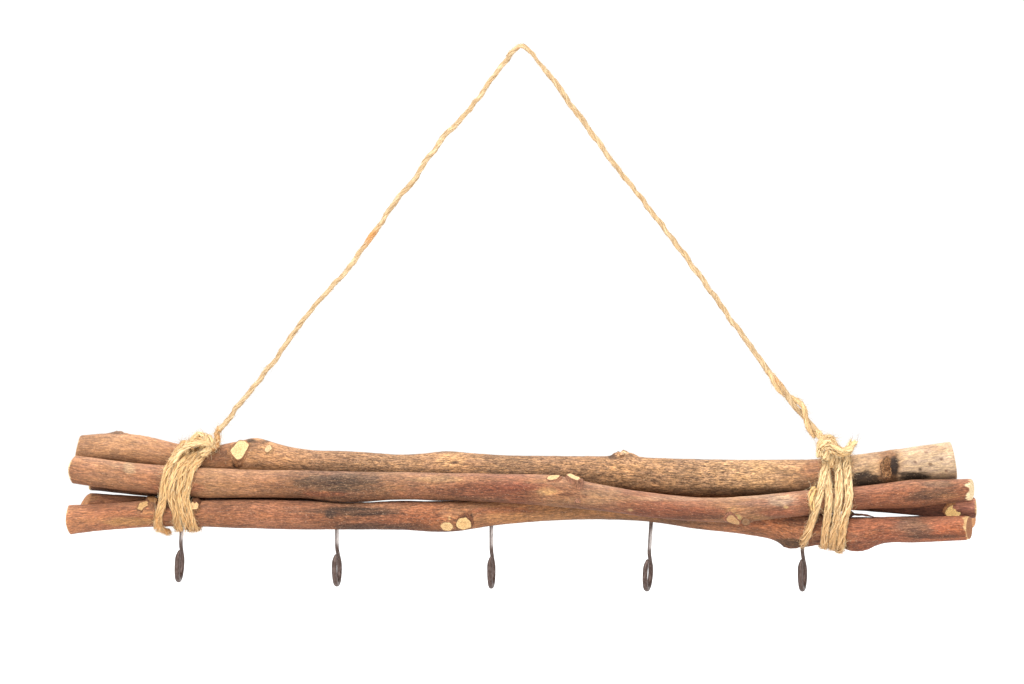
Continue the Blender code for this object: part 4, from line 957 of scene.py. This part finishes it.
def frames(pts):
    """Tangents and two normals carried along pts without twisting."""
    t = np.gradient(pts, axis=0)
    t /= np.linalg.norm(t, axis=1)[:, None]
    up = np.array([0.0, -1.0, 0.0]) if abs(t[0, 1]) < 0.8 else np.array([1.0, 0, 0])
    n = np.zeros_like(t)
    cur = up - t[0] * (up @ t[0])
    for i in range(len(t)):
        cur = cur - t[i] * (cur @ t[i])
        cur /= np.linalg.norm(cur)
        n[i] = cur
    return t, n, np.cross(t, n)


def strand(soup, points, half, count, yarn_r, lay, tone, seed, sides=8, spacing=0.6, size=None, phase=0.0,
           taper=(1.5, 1.5), shade=0.24, fray=(0.0, 0.0), tint=None, wander=0.35, core=1.25, drift=0.0, low=None):
    """A strand of loosely twisted yarns along points. half is its half width across (side, outward);
    size scales its girth at each share of its length; fray opens the yarns at its ends, in mm."""
    pts = resample(points, spacing)
    n = len(pts)
    s = np.concatenate([[0], np.cumsum(np.linalg.norm(np.diff(pts, axis=0), axis=1))])
    total = s[-1]
    zero = s * 0
    if drift:
        pts = pts + [1, 0, 0] * (drift * noise3(np.stack([s / 13, zero + seed, zero + 4], 1), seed + 30))[:, None]
    t, nn, bb = frames(pts)
    grow = np.ones(n)
    if size is not None:
        grow = np.interp(s / total, [q[0] for q in size], [q[1] for q in size])
    grow = grow * (1 + 0.11 * noise3(np.stack([s / 8, zero + seed, zero], 1), seed)
                   + 0.05 * noise3(np.stack([s / 3, zero + seed, zero], 1), seed + 1))
    ends = np.minimum(smooth(-0.5, taper[0], s), smooth(-0.5, taper[1], total - s))
    ends = np.clip(ends, 0.2, 1)
    open_up = fray[0] * np.exp(-s / 3.0) + fray[1] * np.exp(-(total - s) / 3.0)
    ang = np.linspace(0, 2 * math.pi, sides, endpoint=False)
    turn = phase + 2 * math.pi * s / lay + 0.8 * noise3(np.stack([s / 16, zero, zero + seed], 1), seed + 2)
    r = np.random.default_rng(500 + seed)
    for p in range(count + (1 if core else 0)):
        middle = p == count
        f = turn + 2 * math.pi * p / max(count, 1) + r.uniform(-0.2, 0.2)
        f = f + wander * noise3(np.stack([s / 6.5, zero + 3.1 * p, zero + seed], 1), seed + 5)
        own_r = yarn_r * (1 + r.uniform(-0.22, 0.22)) * (core if middle else 1.0)
        reach = 0.0 if middle else 1 + 0.17 * noise3(np.stack([s / 5, zero + 7 * p, zero + seed], 1), seed + 6)
        a = (half[0] - own_r) * grow * reach + open_up * (0 if middle else 1)
        b = (half[1] - own_r) * grow * reach + open_up * (0 if middle else 0.8)
        centre = pts + nn * (np.cos(f) * a)[:, None] + bb * (np.sin(f) * b)[:, None]
        own_t, own_n, own_b = frames(centre)
        thick = own_r * grow * ends * (1 + 0.26 * noise3(np.stack([s / 4, zero + 11 * p, zero + seed], 1), seed + 7))
        S, TH = np.repeat(s, sides), np.tile(ang, n)
        key = np.stack([S / 5.0, np.cos(TH) * 1.3 + 5 * p, np.sin(TH) * 1.3], 1)
        rad = np.repeat(thick, sides) * (1 + 0.20 * noise3(key, seed + 8))
        c, sn = np.cos(TH), np.sin(TH)
        off = np.repeat(own_n, sides, 0) * (c * rad)[:, None] + np.repeat(own_b, sides, 0) * (sn * rad)[:, None]
        verts = np.repeat(centre, sides, 0) + off
        # the yarn's inner side, towards the strand's middle, holds shade
        rel = verts - np.repeat(pts, sides, 0)
        rel = rel - np.repeat(t, sides, 0) * np.sum(rel * np.repeat(t, sides, 0), axis=1)[:, None]
        far = np.linalg.norm(rel, axis=1) / (np.repeat(grow, sides) * 0.5 * (half[0] + half[1]))
        light = 1 - shade * (1 - smooth(0.55, 0.98, far))
        light = light * (1 + r.uniform(-0.10, 0.10) + 0.12 * noise3(key * [0.5, 1, 1], seed + 12))
        col = np.asarray(tone)[None, :] * np.stack([light**0.75, light**1.1, light**1.6], 1)
        warm = smooth(0.1, 0.7, noise3(np.stack([S / 9, zero.repeat(sides) + 2.3 * p, zero.repeat(sides) + seed], 1), seed + 15))
        col = paint(col, 0.35 * warm, np.asarray(tone) * [0.96, 0.86, 0.70])
        if low is not None:
            col = paint(col, low[3] * smooth(low[0], low[1], np.repeat(centre[:, 2], sides)), np.asarray(low[2]) * light.mean())
        if tint is not None:
            for at, wide, color, amount in tint:
                col = paint(col, np.exp(-(((S - at) / wide) ** 2)) * amount, color)
        fib = np.stack([S + 60 * p + 300 * seed, c * own_r, sn * own_r + 7 * p], 1)
        verts = np.concatenate([verts, centre[:1] - t[:1] * 0.15, centre[-1:] + t[-1:] * 0.15])
        col = np.concatenate([col, col[:1], col[-1:]])
        fib = np.concatenate([fib, fib[:1], fib[-1:]])
        tris = np.concatenate([ring_fan(0, sides, n * sides, outward=False),
                               ring_fan((n - 1) * sides, sides, n * sides + 1, outward=True)])
        soup.add(verts, grid_quads(n, sides), tris, {
            "Col": np.concatenate([col * JUTE_GAIN, np.ones((len(col), 1))], 1), "fib": fib})
    return pts, t, nn, bb, half, grow


def fuzz(soup, line, count, seed, length=(2.0, 6.0), thick=(0.05, 0.10), lift=(0.25, 0.9), share=(0.0, 1.0),
         lying=0.5, colors=((232, 194, 134), (255, 234, 190), (196, 142, 84), (244, 212, 156), (168, 112, 60)), deep=0.97,
         steps=5):
    """Loose fibres on a strand: thin three-sided hairs, some standing off it and some lying along it."""
    pts, t, nn, bb, half, grow = line
    r = np.random.default_rng(900 + seed)
    i = (r.uniform(*share, count) * (len(pts) - 1)).astype(int)
    a = r.uniform(0, 2 * math.pi, count)
    ca, sa = np.cos(a)[:, None], np.sin(a)[:, None]
    out = ca * nn[i] + sa * bb[i]
    side = -sa * nn[i] + ca * bb[i]
    base = pts[i] + (ca * half[0] * nn[i] + sa * half[1] * bb[i]) * (grow[i] * deep)[:, None]
    sign = np.where(r.random(count) < 0.6, 1.0, -1.0)[:, None]
    flat = (r.random(count) < lying)[:, None]
    rise = np.where(flat, r.uniform(-0.02, 0.16, (count, 1)), r.uniform(*lift, (count, 1)))
    d = t[i] * sign + out * rise + side * r.normal(0.25, 0.32, (count, 1))
    d /= np.linalg.norm(d, axis=1)[:, None]
    bend = out * r.normal(0.0, 0.5, (count, 1)) * np.where(flat, 0.35, 1.0) + side * r.normal(0, 0.6, (count, 1))
    bend = bend + t[i] * r.normal(0, 0.4, (count, 1))
    size = r.uniform(*length, count)[:, None]
    q = np.linspace(0, 1, steps)
    th = r.uniform(*thick, count)[:, None] * (1 - 0.65 * q)[None, :]
    line_pts = (base[:, None] + d[:, None] * (size * q)[..., None] + bend[:, None] * (size * 0.4 * q * q)[..., None]
                + side[:, None] * (0.12 * size * np.sin(q * 7 + a[:, None]))[..., None])
    e1 = np.cross(d, out)
    e1 /= np.maximum(np.linalg.norm(e1, axis=1)[:, None], 1e-6)
    e2 = np.cross(d, e1)
    verts = np.empty((count, steps, 3, 3))
    for k in range(3):
        b = 2 * math.pi * k / 3
        verts[:, :, k] = line_pts + (math.cos(b) * e1 + math.sin(b) * e2)[:, None] * th[..., None]
    verts = verts.reshape(-1, 3)
    one = grid_quads(steps, 3)
    starts = (np.arange(count) * steps * 3)[:, None, None]
    quads = (one[None] + starts).reshape(-1, 4)
    caps = np.array([[2, 1, 0], [(steps - 1) * 3, (steps - 1) * 3 + 1, (steps - 1) * 3 + 2]])
    tris = (caps[None] + starts).reshape(-1, 3)
    palette = np.array([rgb(*c) for c in colors])
    pick = np.where(flat[:, 0], r.integers(len(colors), size=count), r.integers(2, size=count))
    color = palette[pick] * r.uniform(0.85, 1.1, (count, 1)) * JUTE_GAIN
    col = np.repeat(np.concatenate([color, np.ones((count, 1))], 1), steps * 3, 0)
    fib = np.stack([np.repeat(np.arange(count) * 9.0, steps * 3) + np.tile(np.repeat(q * 3, 3), count),
                    np.full(len(verts), 0.3), np.full(len(verts), 0.2)], 1)
    soup.add(verts, quads, tris, {"Col": col, "fib": fib})


LEFT_LEVELS = (-215.0, -223.6, -231.8, -240.1, -248.3, -256.6, -266.0)
LEFT_TURNS = [
    (-171.3, -175.7, -180.8, -183.3, -183.5, -181.6, -178.5),
    (-176.0, -180.3, -185.3, -187.5, -187.5, -185.2, -182.0),
    (-180.7, -184.8, -189.7, -191.7, -191.5, -189.2, -188.2),
    (-185.4, -189.5, -194.2, -196.0, -196.6, -198.9, -199.4),
]
RIGHT_LEVELS = (-220.0, -229.0, -237.3, -245.6, -253.8, -262.1, -270.3, -277.0)
RIGHT_TURNS = [
    (179.2, 179.4, 179.8, 179.8, 178.4, 176.8, 175.6, 175.2),
    (174.4, 174.7, 174.8, 174.4, 173.3, 172.3, 171.3, 171.0),
    (168.4, 167.6, 168.4, 169.2, 168.4, 167.7, 166.6, 166.0),
    (168.2, 167.6, 165.8, 163.9, 161.7, 159.0, 156.0, 153.4),
]


def wrap_profile(x_mm, offset, start_deg, end_deg):
    discs = [stick_at(s, x_mm)[0] for s in ALL_STICKS]
    line = []
    for deg in np.arange(start_deg, end_deg + 0.1, 7.5):
        a = math.radians(deg)
        c, s = math.cos(a), math.sin(a)
        y, z, r = max(discs, key=lambda d: d[0] * c + d[1] * s + d[2])
        line.append((y + (r + offset) * c, z + (r + offset) * s))
    out = [line[0]]
    for p in line[1:]:
        q = out[-1]
        steps = max(1, int(math.dist(p, q) / 4.5))
        for i in range(1, steps + 1):
            out.append((q[0] + (p[0] - q[0]) * i / steps, q[1] + (p[1] - q[1]) * i / steps))
    return out


def pushed_out(x, y, z, clear):
    for _ in range(4):
        for stations in ALL_STICKS:
            cy, cz, r = stick_at(stations, x)[0]
            d = math.hypot(y - cy, z - cz)
            if d < r + clear:
                y = cy + (y - cy) / d * (r + clear)
                z = cz + (z - cz) / d * (r + clear)
    return y, z


def winding(levels, turns, clear, first_deg=78.0, last_deg=412.0, lifts=None):
    heights = np.array(levels[::-1])
    fronts = [np.array(t[::-1]) for t in turns]
    points = []
    for n, front in enumerate(fronts):
        last = n + 1 == len(fronts)
        x_mid = float(np.mean(front))
        top, bottom = front[-1], front[0]
        following = top - (turns[0][0] - turns[1][0]) if last else fronts[n + 1][-1]
        down = wrap_profile(x_mid, clear, 90 if n else first_deg, 270)
        up = wrap_profile(x_mid, clear, 270, last_deg if last else 450)
        lift = (lifts or {}).get(n, (0.0, -230.0, -240.0))
        path = [(float(np.interp(z, heights, front)), y - lift[0] * float(smooth(lift[2], lift[1], z)) * (y < 0), z)
                for y, z in down]
        run = np.concatenate([[0], np.cumsum([math.dist(a, b) for a, b in zip(up, up[1:])])])
        path += [(bottom + (following - bottom) * float(run[i] / run[-1]), y, z)
                 for i, (y, z) in enumerate(up) if i]
        if n:
            path = path[1:]
        points += path
    return np.array([(x, *pushed_out(x, y, z, clear)) for x, y, z in points])


def flat_points(rows):
    """Points from (pixel x, pixel y, depth Y in mm)."""
    return [(px_x(a), y, px_z(b)) for a, b, y in rows]


JUTE = rgb(234, 192, 132)
JUTE_PALE = rgb(244, 212, 158)
JUTE_ORANGE = rgb(226, 164, 96)
CORD_TONE = rgb(202, 172, 130)


LOW_TONE = (-243.0, -266.0, rgb(206, 148, 86), 0.65)


def make_bindings(mat):
    made = []
    for side, levels, turns, seed in (("left", LEFT_LEVELS, LEFT_TURNS, 41), ("right", RIGHT_LEVELS, RIGHT_TURNS, 55)):
        soup, hairs = Soup(), Soup()
        left = side == "left"
        path = winding(levels, turns, 1.6, last_deg=394.0 if left else 412.0, lifts={} if left else {3: (2.2, -231.0, -241.0)})
        if left:
            path[:, 2] -= 2.0 * smooth(-223.0, -217.0, path[:, 2]) * smooth(-180.0, -185.0, path[:, 0])
        else:
            # the last turn sinks into the bark under the swelling
            sunk = smooth(-266.0, -275.0, path[:, 2]) * smooth(163.0, 158.0, path[:, 0])
            path[:, 2] += 2.6 * sunk
        line = strand(soup, path, (2.4, 1.75) if left else (2.2, 1.65), 13, 0.48, 64.0 if left else 52.0,
                      JUTE if left else rgb(252, 220, 166), seed, sides=5, spacing=0.8, taper=(2, 2), wander=0.9, core=2.2,
                      shade=0.20 if left else 0.14, drift=0.9 if left else 0.6, low=LOW_TONE)
        fuzz(hairs, line, 4600, seed, length=(2.0, 7.0), thick=(0.05, 0.09), lift=(0.12, 0.6), lying=0.86, steps=4)
        if left:
            extra = [
                # the matted loop over the top, and strands drawn together at the knot
                ([(185, 454, -10.4), (187.0, 448.6, -9.0), (190.5, 443.4, -6.4), (194.0, 438.2, -4.0), (198.6, 434.8, -2.6),
                  (203.6, 436.4, -4.2), (207.4, 441.8, -7.4), (208.0, 449, -9.4), (204.5, 456, -10.4)],
                 JUTE_PALE, (2.2, 1.8), 11, 24.0, (0.0, 0.0)),
                ([(190, 450, -8.0), (192.5, 443.6, -6.6), (197.0, 440.8, -6.2), (202.0, 442.6, -7.0), (203.5, 449, -8.6)],
                 JUTE, (2.4, 1.9), 10, 22.0, (0.3, 0.3)),
                ([(211.5, 446, -8.2), (205, 443.6, -10.0), (197, 443.6, -10.8), (188.5, 446.0, -11.0), (181.5, 451, -11.6),
                  (176.5, 457.5, -13.2), (173, 464.5, -16.2)], JUTE_PALE, (2.2, 1.5), 10, 30.0, (0.0, 0.6)),
                # the cord's root, orange, coming in from the right
                ([(219.5, 427.4, 0.0), (217.6, 431.2, 0.0), (216.6, 435.0, -0.6), (217.0, 439.6, -2.0), (216.4, 444.4, -4.4),
                  (213.0, 448.0, -7.2), (208.6, 448.4, -9.2)],
                 JUTE_ORANGE, (1.9, 1.6), 9, 17.0, (0.0, 0.3)),
                ([(206, 436.5, -4.0), (211.0, 439.6, -6.0), (212.4, 445.4, -8.0), (207.6, 450.6, -9.8), (200.0, 455.6, -11.4)],
                 JUTE_PALE, (2.0, 1.5), 9, 26.0, (0.2, 0.4)),
                # the turn's end tucked under the left side
                ([(158.2, 517, -18.6), (158.4, 522.5, -17.6), (160.6, 527.4, -14.6), (164.8, 530.8, -11.0), (169.8, 532.6, -7.0)],
                 JUTE_ORANGE, (2.0, 1.4), 9, 22.0, (0.2, 0.4)),
            ]
        else:
            extra = [
                # the knot: the cord drawn into it, a lump, and a flat tail to the right
                ([(817.6, 431.5, -0.2), (820.2, 435.6, -2.4), (824.0, 439.6, -6.6), (827.6, 444.5, -10.4), (827.6, 451.5, -12.0),
                  (825.6, 460, -13.2)], JUTE_PALE, (2.5, 1.9), 11, 26.0, (0.0, 0.4)),
                ([(834.0, 440.5, -6.0), (830.0, 437.6, -7.4), (824.5, 438.8, -8.8), (820.8, 443.5, -9.6), (819.8, 450, -10.4),
                  (820.4, 457, -11.3)], JUTE_PALE, (2.3, 1.8), 10, 20.0, (0.0, 0.5)),
                ([(821.5, 449, -11.4), (824.5, 443.6, -12.4), (830.0, 441.4, -12.6), (834.4, 444.8, -12.6), (834.0, 450.0, -12.4),
                  (829, 452.5, -12.4)], JUTE_PALE, (2.2, 1.8), 10, 22.0, (0.2, 0.4)),
                ([(825, 447.5, -12.2), (831, 446.0, -13.2), (836.0, 448.0, -13.8), (841.6, 450.6, -13.6), (847.4, 449.4, -12.6),
                  (851.4, 445.0, -11.2), (853.8, 440.6, -10.2)], JUTE_PALE, (2.6, 1.7), 13, 40.0, (0.2, 0.5)),
                ([(831, 449.5, -12.8), (837, 452.5, -13.2), (843, 453.8, -13.0), (848.6, 451.6, -12.0), (850.6, 447.5, -11.0)],
                 JUTE, (2.0, 1.4), 9, 24.0, (0.4, 0.8)),
                # a short frayed end beside the first turn
                ([(813.5, 488.0, -18.2), (811.4, 492.5, -19.4), (810.6, 498.5, -19.8), (811.6, 505.0, -19.2), (814.2, 511.0, -17.2)],
                 rgb(248, 202, 130), (3.1, 1.8), 14, 30.0, (0.1, 0.3)),
                # a strand behind the knot
                ([(830.0, 446.5, -9.2), (831.0, 452.5, -10.0), (831.4, 459.5, -11.6), (831.2, 467.0, -13.4)], JUTE, (1.7, 1.2), 8, 24.0,
                 (0.0, 0.3)),
            ]
        for k, (rows, tone, half, count, lay, fray) in enumerate(extra):
            extra_line = strand(soup, flat_points(rows), half, count, 0.52, lay, tone, seed + 3 + k, sides=5, spacing=0.6,
                                taper=(1.0, 1.0), phase=1.1 * k, fray=fray, wander=0.9, core=2.3, shade=0.28)
            fuzz(hairs, extra_line, 240, seed + 60 + k, length=(1.5, 5.5), lift=(0.15, 0.7), lying=0.78, steps=4)
        obj = soup.make(f"twine_{side}", mat)
        hair = hairs.make(f"twine_fibres_{side}", mat)
        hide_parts(f"twine_binding_{side}")
        made += [obj, hair]
    return made


CORD_ROUTE = [
    (-168.6, -212.7), (-165.2, -208.6), (-155.9, -196.9), (-144.0, -182.4), (-131.6, -165.8),
    (-110.9, -138.4), (-99.6, -126.0), (-83.6, -104.9), (-67.6, -82.3), (-57.6, -70.0),
    (-43.4, -49.2), (-30.3, -35.6), (-16.6, -17.4), (-9.4, -8.0), (-4.6, -1.7),
    (0.0, 1.65), (5.0, -0.9), (10.0, -7.0), (18.2, -18.0), (34.0, -39.8),
    (46.2, -55.8), (61.0, -75.2), (76.0, -94.9), (95.0, -120.2), (106.7, -136.3),
    (124.3, -160.9), (134.0, -174.2), (140.6, -184.0), (147.2, -191.6), (154.4, -198.4),
    (157.9, -205.6), (161.3, -210.8), (163.4, -213.7),
]


def make_cord(mat):
    route = [(x, 0.0, z) for x, z in CORD_ROUTE]
    line = resample(route, 0.55)
    s = np.concatenate([[0], np.cumsum(np.linalg.norm(np.diff(line, axis=0), axis=1))])
    total = float(s[-1])

    def share_at(x):
        """Share of the length where the route passes x; x rises all along it."""
        return float(np.interp(x, line[:, 0], s)) / total

    soup, hairs = Soup(), Soup()
    size = [(0, 1.05), (share_at(-160), 1.0), (share_at(-118), 0.92), (share_at(-92), 1.0), (share_at(-82), 1.18),
            (share_at(-74), 1.0), (share_at(-60), 1.08), (share_at(-40), 1.02), (share_at(-20), 1.0), (share_at(-2), 1.02),
            (share_at(6), 0.9), (share_at(9.5), 0.68), (share_at(13), 0.9), (share_at(20), 1.08), (share_at(60), 0.98),
            (share_at(100), 1.05), (share_at(132), 1.05), (share_at(137), 1.22), (share_at(141), 1.1), (1, 1.15)]
    tint = [(share_at(-82) * total, 5.0, rgb(206, 140, 76), 0.9), (share_at(-0.5) * total, 2.0, rgb(196, 140, 92), 0.6),
            (share_at(142) * total, 4.0, rgb(206, 146, 84), 0.5)]
    # where the cord is doubled back on itself it winds round the returning end
    pair = np.clip((s - share_at(134.5) * total) / 7.0, 0, 1)
    pair = pair * pair * (3 - 2 * pair)
    bulge = 0.75 + 0.45 * np.exp(-(((line[:, 0] - 153.0) / 6.5) ** 2))
    t, nn, bb = frames(line)
    turn = 2 * math.pi * (s - share_at(135.5) * total) / 32.0 + 2.6
    spread = 1.45 * pair * bulge
    first = line + (np.cos(turn)[:, None] * nn + np.sin(turn)[:, None] * bb) * spread[:, None]
    second = line - (np.cos(turn)[:, None] * nn + np.sin(turn)[:, None] * bb) * (spread * 1.05)[:, None]
    # the limp cord lies a little unevenly along its way
    sway = 0.85 * noise3(np.stack([s / 7.5, s * 0 + 3.0, s * 0], 1), 75) * smooth(0, 15, s) * smooth(total - 50, total - 75, s)
    first = first + bb * sway[:, None]
    keep = s >= share_at(135.5) * total
    main = strand(soup, first[::4], (1.5, 1.42), 5, 0.80, 19.0, CORD_TONE, 71, spacing=0.75, size=size, tint=tint,
                  taper=(0.8, 0.8), shade=0.30, wander=0.3, core=0)
    pale = ((232, 204, 156), (250, 234, 200), (200, 158, 108), (240, 214, 170), (178, 132, 86))
    fuzz(hairs, main, 1800, 72, length=(1.2, 4.6), thick=(0.04, 0.08), lift=(0.2, 0.9), lying=0.66, steps=4, colors=pale)
    tail = strand(soup, second[keep][::4], (1.75, 1.25), 7, 0.72, 24.0, rgb(226, 190, 138), 73, spacing=0.6,
                  taper=(3.0, 0.8), size=[(0, 0.55), (0.2, 0.95), (0.5, 1.2), (0.8, 1.0), (1, 1.1)], fray=(0.8, 0.0))
    fuzz(hairs, tail, 300, 74, length=(1.2, 4.6), thick=(0.04, 0.08), steps=4)
    cord = soup.make("hanging_rope", mat)
    hair = hairs.make("hanging_rope_fibres", mat)
    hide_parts("hanging_cord")
    return [cord, hair]


# ------------------------------------------------------------------------------------
# screw hooks
# ------------------------------------------------------------------------------------
HOOKS = [
    (-188.3, -293.7, 6.6, 3.4), (-101.2, -296.0, 8.5, 0.0), (-16.3, -297.3, 6.5, 0.0),
    (69.3, -299.0, 11.6, 3.6), (155.0, -299.0, 11.0, 0.0),
]
HOOK_WIRE, HOOK_BEND_WIRE, HOOK_LENGTH, HOOK_BEND = 1.08, 1.42, 43.5, 8.35
HOOK_THREAD, THREAD_CREST, THREAD_ROOT, THREAD_PITCH = 4.5, 1.35, 0.95, 1.5


def make_hooks(mat):
    low, centre = 22.5, HOOK_BEND + HOOK_BEND_WIRE
    pts = [(0.0, HOOK_LENGTH), (0.0, HOOK_LENGTH - HOOK_THREAD), (0.0, 33.3), (0.0, 28.0), (0.0, low + 2),
           (0.0, low), (0.9, 20.5), (2.9, 18.6), (5.2, 16.6), (7.0, 14.2)]
    for i in range(13):
        a = math.radians(8 - 188 * i / 12)
        pts.append((HOOK_BEND * math.cos(a), centre + HOOK_BEND * math.sin(a)))
    pts += [(-HOOK_BEND + 0.1, centre + 2.8), (-HOOK_BEND + 0.4, 14.5), (-HOOK_BEND + 0.8, 16.4), (-HOOK_BEND + 1.4, 18.0)]
    side = [0.0] * (len(pts) - 3) + [0.1, 0.45, 0.9]
    line = resample([(x, y, z) for x, (y, z) in zip(side, pts)], 0.38)
    t, nn, bb = frames(line)
    s = np.concatenate([[0], np.cumsum(np.linalg.norm(np.diff(line, axis=0), axis=1))])
    sides = 16
    ang = np.linspace(0, 2 * math.pi, sides, endpoint=False)
    S, TH = np.repeat(s, sides), np.tile(ang, len(line))
    wave = 0.5 + 0.5 * np.cos(2 * math.pi * (S / THREAD_PITCH) - TH)
    thread = (THREAD_ROOT + (THREAD_CREST - THREAD_ROOT) * wave**2) * np.clip(0.25 + S / 3.0, 0.25, 1)
    bend_from = s[-1] - (math.pi * HOOK_BEND + 17.0)
    wire = HOOK_WIRE + (HOOK_BEND_WIRE - HOOK_WIRE) * smooth(bend_from, bend_from + 6.0, S)
    wire = wire * (1 + 0.014 * noise3(np.stack([S / 2.5, np.cos(TH), np.sin(TH)], 1), 5))
    r = np.where(S < HOOK_THREAD, thread, wire)
    left = s[-1] - S
    r = r * (0.62 + 0.38 * smooth(0.0, 5.0, left))
    r = r * np.where(left < 0.8, np.sqrt(np.clip(1 - (1 - left / 0.8) ** 2 * 0.75, 0.1, 1)), 1.0)
    local = np.repeat(line, sides, 0) + (np.repeat(nn, sides, 0) * np.cos(TH)[:, None]
                                         + np.repeat(bb, sides, 0) * np.sin(TH)[:, None]) * r[:, None]
    n = len(line)
    local = np.concatenate([local, line[:1], line[-1:] + t[-1:] * 0.08])
    tris = np.concatenate([ring_fan(0, sides, n * sides, outward=False),
                           ring_fan((n - 1) * sides, sides, n * sides + 1, outward=True)])
    facing = np.repeat(nn[:, 0], sides) * np.cos(TH) + np.repeat(bb[:, 0], sides) * np.sin(TH)
    # painted highlight along the straight shank, strongest on the side facing +X
    shank_highlight = smooth(6.0, 13.0, S) * smooth(21.5, 18.5, S) * (0.2 + 0.8 * smooth(-0.3, 0.7, facing))
    shank_highlight = np.concatenate([shank_highlight, [0.0, 0.0]])[:, None] * [1.0, 0.0, 0.0]
    made = []
    for k, (x, z, turn, lean) in enumerate(HOOKS):
        a, b = math.radians(-turn), math.radians(lean)
        rot_z = np.array([[math.cos(a), -math.sin(a), 0], [math.sin(a), math.cos(a), 0], [0, 0, 1]])
        rot_y = np.array([[math.cos(b), 0, math.sin(b)], [0, 1, 0], [-math.sin(b), 0, math.cos(b)]])
        x_wood = x + 40.0 * math.sin(b)
        y = float(stick_at(STICK_BOTTOM, x_wood)[0][0])
        verts = local @ (rot_y @ rot_z).T + [x, y, z]
        obj = build_mesh(f"hook_{k + 1}", verts, [grid_quads(n, sides), tris], mat, {"shank_highlight": shank_highlight})
        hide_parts(f"screw_hook_{k + 1}")
        made.append(obj)
    return made


# ------------------------------------------------------------------------------------
# stage, lights, camera
# ------------------------------------------------------------------------------------
FLOOR_Z = -0.309


def make_stage():
    mat, n = new_material("floor_white")
    n.shader.inputs["Base Color"].default_value = (0.93, 0.93, 0.93, 1)
    n.shader.inputs["Roughness"].default_value = 0.9
    n.shader.inputs["Specular IOR Level"].default_value = 0.0
    h = 40000.0
    floor = build_mesh("floor", [(-h, -h, FLOOR_Z / MM), (h, -h, FLOOR_Z / MM), (h, h, FLOOR_Z / MM), (-h, h, FLOOR_Z / MM)],
                       [np.array([[0, 1, 2, 3]])], mat, {})

    world = bpy.data.worlds.new("studio")
    bpy.context.scene.world = world
    world.use_nodes = True
    background = world.node_tree.nodes["Background"]
    background.inputs["Color"].default_value = (1, 1, 1, 1)
    background.inputs["Strength"].default_value = 1.1

    def area(name, place, aim, size_x, size_y, power):
        data = bpy.data.lights.new(name, "AREA")
        data.shape = "RECTANGLE"
        data.size, data.size_y = size_x, size_y
        data.energy = power
        light = bpy.data.objects.new(name, data)
        bpy.context.scene.collection.objects.link(light)
        light.location = place
        light.rotation_euler = (Vector(aim) - Vector(place)).to_track_quat("-Z", "Y").to_euler()
        return light

    aim = (0, 0, -0.2)
    area("key", (-0.35, -1.3, 0.95), aim, 1.2, 0.7, 26)
    area("top", (0.0, 0.25, 1.5), aim, 2.4, 1.6, 26)


def make_camera():
    cam = bpy.data.cameras.new("camera")
    cam.sensor_width = 36.0
    distance = 4.0
    cam.lens = 36.0 * distance / (1024 * 0.55 * MM)
    cam.clip_start, cam.clip_end = 0.1, 100.0
    obj = bpy.data.objects.new("camera", cam)
    bpy.context.scene.collection.objects.link(obj)
    obj.location = (px_x(512) * MM, -distance - 0.008, px_z(342) * MM)
    obj.rotation_euler = (math.radians(90), 0, 0)
    bpy.context.scene.camera = obj


make_camera()
jute = jute_material("jute")
pieces = make_cord(jute)
pieces += make_bindings(jute)
pieces += make_sticks()
pieces += make_hooks(metal_material("hook_metal"))
make_stage()
for piece in pieces:
    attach(piece, "root")

scene = bpy.context.scene
scene.view_settings.view_transform = "Standard"
scene.view_settings.look = "None"
scene.view_settings.exposure = 0.0
scene.view_settings.gamma = 1.0
